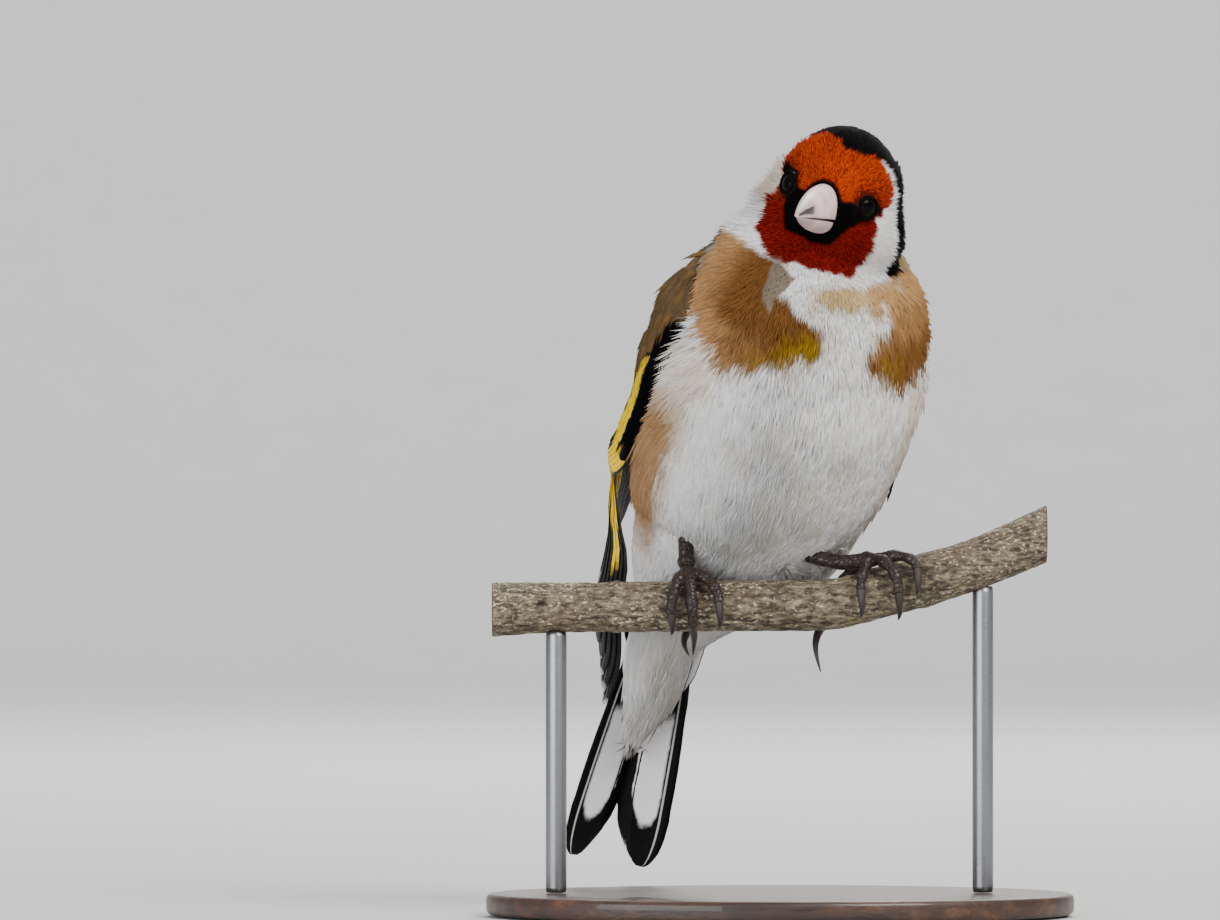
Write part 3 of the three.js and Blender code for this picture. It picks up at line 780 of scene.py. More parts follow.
@dataclass(frozen=True)
class PaleFinish(Finish):
    """The plain pale studio floor and wall."""

    name: str = "studio_pale"

    def draw(self, graph: Graph) -> None:
        """Draws a matt paper with the faintest grain."""
        grain = graph.noise(graph.place(), 40, 2)
        colour = graph.blend(grain, 0xC9C8C6, 0xCECDCB)
        graph.surface(Base_Color=colour, Roughness=0.95, Specular_IOR_Level=0.1)


def dress(obj: bpy.types.Object, finish: Finish, slot: str, *nodes: str) -> None:
    """Gives a finished piece its material and its place in the model.

    Args:
        obj: the piece.
        finish: what it is made of.
        slot: the kind of surface it is; not used.
        nodes: the solids that it stands for.
    """
    obj.data.materials.clear()
    obj.data.materials.append(finish.material())
    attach(obj, "root")
    if nodes:
        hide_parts(*nodes)
    LOG.info("%s: %d faces", obj.name, len(obj.data.polygons))


# The forms that the solids have


@dataclass
class Trunk:
    """The trunk's middle line and girths, from the under tail coverts up into the head.

    Each station is x, y, z, half the width, the depth to the breast and the depth to the back.
    """

    stations: Sequence[Sequence[float]] = (
        (-21.2, 20.8, 22.0, 1.3, 1.2, 1.0),
        (-18.4, 18.0, 29.6, 4.4, 3.0, 3.0),
        (-15.8, 15.6, 38.0, 6.2, 5.2, 5.4),
        (-11.1, 13.0, 46.5, 11.8, 8.4, 9.0),
        (-6.1, 9.0, 54.5, 17.0, 12.2, 13.0),
        (-2.7, 4.0, 63.5, 18.4, 17.0, 15.5),
        (1.0, -1.5, 74.0, 19.0, 18.6, 16.5),
        (3.2, -5.8, 82.0, 18.1, 16.4, 15.5),
        (4.7, -9.6, 89.5, 15.8, 12.8, 13.2),
        (6.4, -12.2, 96.0, 10.2, 9.2, 8.6),
    )
    turn: tuple[float, float] = (12.0, 20.0)
    samples: int = 420
    batch: int = 8000
    nearness: float = 0.02

    def __post_init__(self) -> None:
        """Works out the table of sections that the other methods read."""
        t = np.linspace(0, 1, self.samples)
        table = Curve(self.stations).at(t)
        self.middle, self.size = table[:, :3], table[:, 3:]
        steps = np.linalg.norm(np.diff(self.middle, axis=0), axis=1)
        self.distance = np.concatenate([[0], np.cumsum(steps)])
        self.long = self.distance[-1]
        self.along = unit(np.gradient(self.middle, axis=0))
        turn = np.radians(mix(*self.turn, t))
        facing = np.stack([np.sin(turn), -np.cos(turn), 0 * turn], 1)
        self.belly = unit(facing - self.along * dot(facing, self.along)[:, None])
        self.left = np.cross(self.along, self.belly)

    def section(self, distance: Real) -> tuple[Array, ...]:
        """Returns middle, along, belly, left and girths at distances from the tail's end."""
        distance = np.asarray(distance, float)
        rows = []
        for table in (self.middle, self.along, self.belly, self.left, self.size):
            columns = [np.interp(distance, self.distance, column) for column in table.T]
            rows.append(np.stack(columns, -1))
        return tuple(rows)

    def chart(self, points: Array) -> tuple[Array, Array]:
        """Finds the trunk's section that each point lies on.

        Args:
            points: the points, on the trunk or near it.

        Returns:
            How far along the trunk each lies, and its angle from the belly in degrees.
        """
        best = np.zeros(len(points), int)
        for start in range(0, len(points), self.batch):
            part = points[start : start + self.batch]
            off = np.abs(part @ self.along.T - dot(self.middle, self.along))
            away = (part**2).sum(1)[:, None] - 2 * part @ self.middle.T + (self.middle**2).sum(1)
            score = off + self.nearness * np.sqrt(np.maximum(away, 0))
            best[start : start + self.batch] = np.argmin(score, axis=1)
        reach = points - self.middle[best]
        angle = np.degrees(np.arctan2(dot(reach, self.left[best]), dot(reach, self.belly[best])))
        return self.distance[best] + dot(reach, self.along[best]), angle

    def form(self, rows: int = 110, around: int = 72) -> tuple[Array, list]:
        """Returns the vertices and faces of the trunk's closed form."""
        distance = np.linspace(0, self.long, rows)
        middle, _, belly, left, size = (v[:, None] for v in self.section(distance))
        turn = circle(around)[None, :, None]
        front = np.cos(turn)
        depth = np.where(front > 0, size[..., 1:2], size[..., 2:3])
        rings = middle + left * np.sin(turn) * size[..., :1] + belly * front * depth
        points, faces = loft(rings)
        return points, outward(points, faces)


@dataclass
class Head:
    """The head's form and its own directions."""

    at: tuple[float, float, float] = (7.8, -14.5, 100.0)
    turn: float = -17.0
    nod: float = 12.0
    tilt: float = 18.0
    front: float = 10.2
    back: float = 11.8
    wide: float = 9.2
    high: float = 10.8
    low: float = 12.6
    cheek: float = 0.36

    def __post_init__(self) -> None:
        """Works out the head's left, forward and up directions."""
        angles = (math.radians(self.turn), math.radians(self.nod), math.radians(self.tilt))
        (cz, sz), (cx, sx), (cy, sy) = ((math.cos(a), math.sin(a)) for a in angles)
        about_z = np.array([[cz, -sz, 0], [sz, cz, 0], [0, 0, 1]])
        about_x = np.array([[1, 0, 0], [0, cx, -sx], [0, sx, cx]])
        about_y = np.array([[cy, 0, sy], [0, 1, 0], [-sy, 0, cy]])
        frame_of = about_z @ about_x @ about_y
        self.left, self.forward, self.up = frame_of[:, 0], -frame_of[:, 1], frame_of[:, 2]
        self.middle = np.array(self.at)

    def point(self, forward: Real, aside: Real, up: Real) -> Array:
        """Returns points given by the head's own directions."""
        parts = (forward, self.forward), (aside, self.left), (up, self.up)
        return self.middle + sum(np.asarray(x, float)[..., None] * way for x, way in parts)

    def local(self, points: Array) -> tuple[Array, Array, Array]:
        """Returns how far forward, aside and up points lie from the head's middle."""
        off = points - self.middle
        return off @ self.forward, off @ self.left, off @ self.up

    def surface(self, ways: Array) -> Array:
        """Returns the head's surface in unit directions of forward, aside and up."""
        forward, aside, up = ways[..., 0], ways[..., 1], ways[..., 2]
        ruff = smooth(-up, -0.15, 0.55) * (1 - 0.35 * smooth(-up, 0.75, 1))
        taper = 1 - 0.22 * np.maximum(forward, 0) ** 2
        wide = self.wide * (1 + self.cheek * ruff) * taper
        high = np.where(up > 0, self.high, self.low) * taper
        deep = np.where(forward > 0, self.front, self.back)
        return self.point(forward * deep, aside * wide, up * high)

    def form(self, rows: int = 48, around: int = 64) -> tuple[Array, list]:
        """Returns the head's closed form."""
        points, faces = loft(self.surface(ball_ways(rows, around)))
        return points, outward(points, faces)


def ball_ways(rows: int, around: int) -> Array:
    """Returns rings of unit directions over a ball, from pole to pole."""
    lean = np.linspace(0.02, math.pi - 0.02, rows)[:, None]
    turn = circle(around)[None]
    out = np.sin(lean)
    return np.stack([out * np.cos(turn), out * np.sin(turn), np.cos(lean) + 0 * turn], -1)


TRUNK = Trunk()
HEAD = Head()


@dataclass
class WingChart:
    """The chart that a wing is laid out on, along the trunk's side.

    u runs back from the wrist and v from the side line up towards the back. Each row of the
    line gives how far it lies out, how far up towards the back, and how tightly it bends.
    """

    wrist: float = 72.0
    start: float = -6.0
    end: float = 70.0
    line: Sequence[Sequence[float]] = (
        (16.0, 0.5, 14.0),
        (18.1, 0.0, 15.5),
        (18.4, 0.6, 15.2),
        (18.0, 2.2, 13.6),
        (14.3, 5.2, 11.6),
        (8.6, 8.0, 18.0),
        (4.0, 6.6, 30.0),
    )
    tuck: tuple[float, float, float] = (36.0, 64.0, 4.5)
    bed: Sequence[Sequence[float]] = (
        (-6.4, 4.0, 12.0),
        (-5.0, 0.4, 17.6),
        (0.0, -2.4, 20.6),
        (22.0, -3.2, 21.8),
        (46.0, -3.0, 20.8),
        (58.0, -3.0, 14.0),
        (72.6, -2.6, 7.0),
    )
    pad: tuple[float, float, float, float] = (-5.0, 24.0, -1.8, 20.0)
    pad_thick: float = 1.3
    rise: float = 0.13
    vane: float = 0.5

    def side_line(self, side: int, u: Real) -> tuple[Array, Array, Array]:
        """Returns how far the side line lies out and up, and its bend, at u."""
        rows = Curve(self.line).at((np.asarray(u, float) - self.start) / (self.end - self.start))
        first, last, by = self.tuck
        tucked = by * smooth(u, first, last) * (side > 0)
        return rows[..., 0] - tucked, rows[..., 1], rows[..., 2]

    def point(self, side: int, u: Real, v: Real, height: Real) -> Array:
        """Lays points of the chart in space.

        Args:
            side: 1 for the bird's left wing, -1 for its right one.
            u: how far back from the wrist they lie.
            v: how far up towards the back they lie.
            height: how far over the chart they lie.

        Returns:
            The points.
        """
        u, v, height = np.broadcast_arrays(np.asarray(u, float), v, height)
        middle, _, belly, left, _ = TRUNK.section(self.wrist - u)
        out, lift, bend = self.side_line(side, u)
        angle = v / bend
        aside = out - bend + (bend + height) * np.cos(angle)
        back = lift + (bend + height) * np.sin(angle)
        return middle + left * (side * aside)[..., None] - belly * back[..., None]

    def read(self, side: int, points: Array, distance: Array) -> tuple[Array, Array, Array, Array]:
        """Returns u, v and the height over the chart of points, and the way out from it.

        Args:
            side: 1 for the bird's left wing, -1 for its right one.
            points: the points.
            distance: how far along the trunk each of them lies.
        """
        middle, _, belly, left, _ = TRUNK.section(distance)
        u = self.wrist - distance
        out, lift, bend = self.side_line(side, u)
        off = points - middle
        aside = side * dot(off, left) - (out - bend)
        back = -dot(off, belly) - lift
        reach = np.hypot(aside, back)
        way = unit(left * (side * aside)[:, None] - belly * back[:, None])
        return u, np.arctan2(back, aside) * bend, reach - bend, way

    def cover(self, u: Array, v: Array, inset: float, soft: float) -> Array:
        """Shows where a wing covers the trunk.

        Args:
            u: how far back from the wrist the places lie.
            v: how far up towards the back they lie.
            inset: how far the cover stays inside the wing's edge.
            soft: how far it takes to fade.

        Returns:
            1 where it covers and 0 outside.
        """
        bed = np.array(self.bed)
        low = np.interp(u, bed[:, 0], bed[:, 1]) + inset
        high = np.interp(u, bed[:, 0], bed[:, 2]) - inset
        inside = band(u, bed[0, 0] + inset, bed[-1, 0] - inset, soft)
        return inside * smooth(v - low, -soft, soft) * (1 - smooth(v - high, -soft, soft))

    def pad_height(self, u: Array, v: Array) -> Array:
        """Returns how high the shoulder pad stands over the chart."""
        start, end, low, high = self.pad
        s = (u - start) / (end - start)
        w = np.clip(2 * (v - low) / (high - low) - 1, -1, 1)
        dome = smooth(s, -0.05, 0.3) * (1 - smooth(s, 0.55, 1)) * (1 - 0.75 * w**4)
        return self.vane + (self.pad_thick + self.rise * (v - low)) * dome


WING = WingChart()


@dataclass(frozen=True)
class EyeSeat:
    """Where the eye's ball looks out of the head."""

    forward: float = 0.64
    aside: float = 0.75
    up: float = 0.17
    ball: float = 2.1
    bulge: float = 0.25
    lid: float = 0.34
    ring: float = 1.5

    def find(self, side: int) -> tuple[Array, Array]:
        """Returns the ball's middle and the way the eye looks."""
        step = 0.05

        def surface(forward: float, up: float) -> Array:
            """Returns the head's surface near the eye."""
            return HEAD.surface(unit(np.array([forward, side * self.aside, up])))

        here = surface(self.forward, self.up)
        ahead = surface(self.forward + step, self.up) - here
        above = surface(self.forward, self.up + step) - here
        out = unit(np.cross(ahead, above) * -side)
        return here + out * (self.bulge - self.ball), out


EYE = EyeSeat()


@dataclass(frozen=True)
class BillForm:
    """The sizes of the bill's two halves."""

    root: float = 7.4
    upper_long: float = 15.4
    lower_long: float = 14.0
    wide: float = 2.45
    upper_high: float = 4.0
    lower_deep: float = 1.95
    droop: float = 0.7
    climb: float = 2.6
    gap: float = 0.3
    tip: float = 0.12
    hook: float = 0.5

    def half(self, up: int, rows: int = 60, around: int = 48) -> tuple[Array, list, Array]:
        """Makes one half of the bill.

        Args:
            up: 1 for the upper half, -1 for the lower one.
            rows: how many rings it has.
            around: how many points a ring has.

        Returns:
            Its vertices, faces and chart.
        """
        long = self.upper_long if up > 0 else self.lower_long
        high = self.upper_high if up > 0 else self.lower_deep
        t = (np.linspace(0, 1, rows) ** 0.9)[:, None]
        turn = circle(around)[None]
        x, z = np.sin(turn), -up * np.cos(turn)
        swell = (1 - t) ** 0.75 * (1 + 0.18 * np.sin(math.pi * t))
        away = up * z
        flat = np.where(away > 0, np.abs(away) ** 0.85, 0)
        lift = np.where(away > 0, flat * high, away * 0.1)
        hook = -self.hook * t**3 if up > 0 else 0 * t
        rise = up * (self.gap / 2 + 0.1 + (lift + self.tip * np.maximum(away, 0)) * (swell + self.tip))
        aside = x * self.wide * (swell * (1 if up > 0 else 0.94) + self.tip * 0.6)
        forward = self.root + t * long + 0 * turn
        line = self.climb * t * long / self.upper_long - self.droop
        rings = HEAD.point(forward, aside, line + rise + hook - 0.6 * (1 - t))
        points, faces = loft(rings)
        chart = np.stack(np.broadcast_arrays(t, turn / (2 * math.pi)), -1)
        chart = np.vstack([chart.reshape(-1, 2), [0, 0.5], [1, 0.5]])
        return points, outward(points, faces), chart


BILL = BillForm()


@dataclass
class BranchForm:
    """The perch: its middle line at equal steps in X, and its girth."""

    start: float = -41.0
    end: float = 38.0
    heights: Sequence[float] = (41.5, 41.8, 41.9, 42.0, 42.1, 42.5, 45.1, 48.1, 52.3)
    depths: Sequence[float] = (0.4, 0.2, 0.0, 0.0, 0.0, 0.0, 0.3, 1.0, 2.2)
    radii: Sequence[float] = (4.0, 3.7, 3.7, 3.7, 3.8, 3.8, 4.0, 4.0, 4.3)

    def middle(self, x: Real) -> Array:
        """Returns the middle line at X."""
        t = np.clip((np.asarray(x, float) - self.start) / (self.end - self.start), 0, 1)
        rows = Curve(list(zip(self.depths, self.heights, self.radii))).at(t)
        return np.stack([mix(self.start, self.end, t), rows[..., 0], rows[..., 1], rows[..., 2]], -1)

    def point(self, x: Real, angle: Real, off: Real) -> Array:
        """Lays points round the branch.

        Args:
            x: where along it they lie.
            angle: the turn round it in degrees, 90 at the top and 180 at the front.
            off: how far off its bark they lie.

        Returns:
            The points.
        """
        x, angle, off = np.broadcast_arrays(np.asarray(x, float), np.radians(angle), off)
        row = self.middle(x)
        out = (row[..., 3] + off)[..., None]
        round_it = np.stack([0 * angle, np.cos(angle), np.sin(angle)], -1)
        return row[..., :3] + round_it * out


BRANCH = BranchForm()


@dataclass(frozen=True)
class Toe:
    """A toe: where it ends over the branch, and how its claw goes on."""

    name: str
    x: float
    to: float
    claw: float
    drop: float
    wide: float


@dataclass(frozen=True)
class Foot:
    """A foot: its shank's line, where its toes meet, and its toes."""

    root: float
    shank: Sequence[Sequence[float]]
    toes: Sequence[Toe]


FEET = {
    "right": Foot(
        -13.4,
        ((-13.6, 4.6, 58.5), (-13.5, 1.6, 52.5), (-13.4, 0.2, 48.4)),
        (
            Toe("inner", -8.8, 172, 34, 0.2, 1.0),
            Toe("middle", -12.5, 212, 22, 2.6, 1.05),
            Toe("outer", -15.6, 190, 30, 0.2, 1.0),
            Toe("hind", -13.0, -38, -30, 2.2, 1.05),
        ),
    ),
    "left": Foot(
        13.0,
        ((-1.2, 5.2, 52.4), (3.4, 2.2, 49.6), (8.4, 0.2, 48.3), (12.4, -0.4, 48.6)),
        (
            Toe("inner", 11.4, 165, 34, 0.2, 0.95),
            Toe("middle", 16.8, 186, 34, 0.5, 1.05),
            Toe("outer", 19.4, 158, 30, 0.2, 0.95),
            Toe("hind", 5.8, -44, -26, 4.6, 1.05),
        ),
    ),
}


# Markings


@dataclass(frozen=True)
class Plumage:
    """The bird's markings, with a little painted shade, worked out from the place on the head or trunk.
    """

    white: int = 0xF6F5F3
    cream: int = 0xE6DAC0
    beige: int = 0xD2B583
    tawny: int = 0x7B532B
    tan: int = 0xB98F60
    olive: int = 0x9C7C14
    buff: int = 0x9C6D28
    mantle: int = 0x5E4C36
    black: int = 0x060608
    orange: int = 0xA62702
    crimson: int = 0x7C0E04
    # painted shade in the gap where the throat's feathers part
    parting_shade: int = 0x877B6A
    yellow: int = 0xF0CC00

    def lay(self, colours: Array, share: Array, code: int) -> Array:
        """Returns the colours with another laid over them by a share."""
        return mix(colours, linear(code), np.clip(share, 0, 1)[:, None])

    def head(self, points: Array) -> tuple[Array, Array]:
        """Returns the head's colours, and how far each point belongs to the head."""
        fray = Ripple(2.2, 5).at(points) * 0.3
        forward, aside, up = HEAD.local(points)
        wide = np.abs(aside)
        own_left = aside > 0
        colours = np.repeat(linear(self.white)[None], len(points), 0)
        # painted shade: a beige-grey tint on the outer side of the bird's right cheek
        painted_cheek_shade = band(up, -3.5, 4.0, 1.5) * smooth(-aside, 6.5, 8.0)
        colours = self.lay(colours, painted_cheek_shade * 0.5, self.beige)
        # the red mask, orange above the bill and deep red below
        left = np.interp(up, [-8.2, -6.2, -2.8, 0, 1.7, 3.2, 6.7], [6.2, 5.4, 5.7, 4.6, 3.0, 1.8, 2.2])
        levels = [-8.2, -7.4, -6.6, -6, -4, 0.9, 3.2, 6.7]
        right = np.interp(up, levels, [9.4, 8.4, 6.8, 5.5, 4.4, 4.4, 2.0, 1.6])
        edge = np.where(own_left, left, right)
        crown = np.interp(aside, [-5, -4, 0, 3, 5.3], [1.8, 2.2, 4.6, 4.6, 2.6])
        edge = mix(edge, crown, smooth(up, 7.4, 8.2)) + fray
        # behind the white cheeks a black band joins the cap
        levels = [-9, -8, -3, 0, 3.7, 6, 7.6]
        left = np.interp(up, levels, [0.6, 1.5, 1.5, 1.1, 0.8, 1.0, 1.6])
        right = np.interp(up, levels, [-6, -5.5, -3.5, -1.5, -0.6, 0.3, 0.9])
        rear = mix(np.where(own_left, left, right) + fray, edge, smooth(up, 7.4, 8.0))
        deep = np.interp(up, [-6, 1, 3], [4.5, 6.5, 40])
        closed = 0.5 * smooth(up, 7.6, 8.0)
        cap = smooth(rear + closed - forward, -0.2, 0.2) * smooth(forward - rear + deep, -0.5, 0.5)
        cap = cap * smooth(up, -9.4, -8.6)
        nape = smooth(rear - forward - deep, -0.5, 0.5) * smooth(up, -12, -9)
        colours = self.lay(colours, nape, self.beige)
        colours = self.lay(colours, nape * 0.6, self.mantle)
        colours = self.lay(colours, cap, self.black)
        red = smooth(forward - edge, -0.25, 0.25) * smooth(up + fray, -8.8, -8.3)
        colours = self.lay(colours, red, self.crimson)
        colours = self.lay(colours, red * smooth(up - 0.15 * aside, -1.0, 1.5), self.orange)
        # black lores from the bill to the eyes, and round the bill's root
        reach = np.where(own_left, 7.6, np.interp(up, [-4.6, -0.6, 1, 3.5], [4.4, 5.7, 7.4, 8.3]))
        left = np.interp(wide, [1.7, 3.5, 5, 6.9, 8], [2.6, 2.0, 2.3, 2.1, 1.4])
        right = np.interp(wide, [2.9, 4.1, 5, 7.5, 8.4], [2.0, 1.9, 3.7, 3.7, 3.0])
        high = np.where(own_left, left, right) + 0.4 * fray
        left = np.interp(wide, [2.4, 3.2, 4.4, 6.6, 7.3], [-4.8, -3.7, -1.6, -0.2, 0.7])
        low = np.where(own_left, left, -4.6) + 0.4 * fray
        lores = band(up, low, high, 0.2) * smooth(reach - wide, -0.2, 0.2)
        base = smooth(1 - np.hypot(aside / 3.1, (up + 0.3) / 4.7), -0.05, 0.05)
        front = smooth(forward, 2.0, 3.0)
        colours = self.lay(colours, np.maximum(lores, base) * front, self.black)
        line = np.interp(
            aside,
            [-13.6, -10.6, -5.7, -3.3, -1.4, 1, 4.3, 7.6, 10, 11.9],
            [-8.7, -8.1, -8.8, -8.6, -9.9, -10.7, -10.6, -9.9, -9.0, -8.2],
        )
        share = smooth(up - line + 0.6 * fray, -0.4, 0.4)
        return colours, share

    def body(self, points: Array, distance: Array, angle: Array) -> Array:
        """Works out the trunk's markings.

        Args:
            points: points on the trunk.
            distance: how far along it each of them lies.
            angle: the angle of each from the belly, in degrees.

        Returns:
            Their colours.
        """
        fray = Ripple(3.0, 8).at(points)
        d = distance + 0.7 * fray
        angle = angle + 2.5 * Ripple(4.0, 9).at(points)
        turned = np.abs(angle)
        colours = np.repeat(linear(self.white)[None], len(points), 0)
        colours = self.lay(colours, 0.35 * smooth(Ripple(9, 12).at(points), 0, 1), self.cream)
        # the beige band under the throat
        colours = self.lay(colours, band(d, 79.2, 82.0, 0.8) * band(angle, -18, 62, 8), self.beige)
        # the two breast patches
        low = np.interp(angle, [-95, -80, -69, -58, -36, -19, -6], [73, 71.5, 69.5, 67.4, 70, 72, 74.5])
        high = np.interp(angle, [-95, -48, -42, -25, -6], [96, 92, 80.5, 78.0, 76.5])
        right = smooth(d - low, -1.2, 1.6) * smooth(high - d, -0.6, 1.0) * band(angle, -104, -9, 5)
        low = np.interp(angle, [12, 27, 46, 60, 90], [73.5, 70, 67, 68, 71])
        high = np.interp(angle, [12, 22, 31, 43, 58, 90], [73.5, 74.8, 76.5, 80, 84, 92])
        left = smooth(d - low, -1.2, 1.6) * smooth(high - d, -0.6, 1.0) * band(angle, 15, 104, 5)
        patch = np.maximum(right, left)
        colours = self.lay(colours, patch, self.tawny)
        green = band(angle, -32, -8, 6) * (1 - smooth(d, 74, 76.5)) * 0.9
        green = green + 0.5 * band(angle, -46, -32, 6) * (1 - smooth(d, 71.5, 73.5))
        green = green + 0.25 * band(angle, 26, 44, 6) * (1 - smooth(d, 71.5, 74))
        colours = self.lay(colours, patch * green, self.olive)
        pale = smooth(-angle, 64, 90) * 0.9 + 0.8 * (1 - smooth(d, 71, 77)) * smooth(-angle, 55, 75)
        pale = pale + 0.35 * band(d, 66, 73.5, 2) * smooth(-angle, 30, 50)
        pale = pale + 0.5 * smooth(d, 72.5, 75) * smooth(angle, 10, 25)
        colours = self.lay(colours, patch * pale, self.tan)
        colours = self.lay(colours, band(d, 78.0, 83.5, 0.8) * smooth(angle, 14, 34) * 0.85, self.tan)
        # buff flanks beside the belly
        flank = smooth(turned, 54, 70) * (1 - smooth(turned, 106, 118)) * band(d, 28, 58, 5)
        colours = self.lay(colours, flank * np.where(angle > 0, 0.2, 0.9), self.buff)
        colours = self.lay(colours, smooth(turned, 50, 62) * band(d, 56, 68, 3) * 0.35, self.beige)
        # the brown back, and the pale rump under it
        back = smooth(turned, 98, 112) * smooth(d, 33, 40)
        colours = self.lay(colours, back, self.mantle)
        colours = self.lay(colours, smooth(turned, 118, 130) * band(d, 6, 14, 2), self.black)
        # painted shade: grey in the narrow triangle where the throat's feathers part
        return self.lay(colours, self.parting(distance, angle), self.parting_shade)

    @staticmethod
    def parting(distance: Array, angle: Array) -> Array:
        """Returns 1 in the narrow triangle where the feathers under the throat part, and 0 outside."""
        wide = np.interp(distance, [77.4, 84], [0.5, 14.0])
        middle = np.interp(distance, [78.2, 84], [-45, -40])
        return smooth(wide - np.abs(angle - middle), -0.8, 0.8) * band(distance, 77.6, 87.0, 0.4)

    def at(self, points: Array) -> Array:
        """Returns the colour of the plumage at points on the skin or near it."""
        distance, angle = TRUNK.chart(points)
        colours = self.body(points, distance, angle)
        head, share = self.head(points)
        return mix(colours, head, share[:, None])

    def wing(self, u: Array, v: Array, points: Array) -> Array:
        """Works out the colours of the small feathers on the wing's shoulder.

        Args:
            u: how far back from the wrist they lie.
            v: how far up towards the back they lie.
            points: where they are.

        Returns:
            Their colours.
        """
        fray = Ripple(3.0, 21).at(points)
        colours = np.repeat(linear(self.black)[None], len(points), 0)
        edge = np.interp(u, [0, 4, 12, 20, 26], [-3.0, 1.6, 2.4, 3.6, 7.0])
        low = np.interp(u, [12.5, 20, 28], [1.4, 0.4, -0.4])
        yellow = smooth(u + fray, 12.5, 14.0) * smooth(v - low, -0.2, 0.2)
        yellow = yellow * (1 - smooth(v - edge, -0.3, 0.3))
        colours = self.lay(colours, yellow, self.yellow)
        brown = smooth(v + 0.5 * fray - edge, -0.5, 0.5)
        colours = self.lay(colours, brown, self.mantle)
        return self.lay(colours, brown * 0.3 * smooth(fray, 0, 0.8), self.buff)


PLUMAGE = Plumage()


# The coat


class Zone(Enum):
    """The parts of the coat, each a piece of its own."""

    FOREHEAD = 0
    FACE = 1
    CROWN = 2
    CHEEKS = 3
    NECK = 4
    BREAST = 5
    BELLY = 6
    FLANK_LEFT = 7
    FLANK_RIGHT = 8
    BACK = 9
    VENT = 10
    SHOULDER_LEFT = 11
    SHOULDER_RIGHT = 12


FACE_ZONES = (Zone.FOREHEAD, Zone.FACE)
HEAD_ZONES = (*FACE_ZONES, Zone.CROWN, Zone.CHEEKS)


@dataclass
class Tuft:
    """One tuft of a feather's tip, which the coat repeats. It is a unit long, wide and thick."""

    bow: float = 0.10
    sink: float = 0.06
    places: Sequence[float] = (0.0, 0.42, 1.0)
    widths: Sequence[float] = (0.55, 1.0, 0.0)
    flat: float = 0.16

    def build(self) -> bpy.types.Object:
        """Returns the tuft as a hidden object that lies along X."""
        points, way = [], []
        for place, wide in zip(self.places, self.widths):
            height = self.bow * math.sin(math.pi * place) - self.sink * (1 - place)
            if wide == 0:
                points.append((place, 0, height))
                way.append(place)
                continue
            for turn in (90, 210, 330):
                a = math.radians(turn)
                aside, over = 0.5 * wide * math.cos(a), 0.5 * wide * math.sin(a)
                points.append((place, aside, height + over * self.flat))
                way.append(place)
        faces = [(0, 2, 1)]
        for k in range(3):
            n = (k + 1) % 3
            faces.append((k, n, 3 + n))
            faces.append((k, 3 + n, 3 + k))
            faces.append((3 + k, 3 + n, 6))
        mesh = bpy.data.meshes.new("tuft")
        mesh.from_pydata(points, [], faces)
        write_attribute(mesh, "way", np.array(way))
        obj = show("tuft", mesh)
        obj.hide_render = True
        return obj


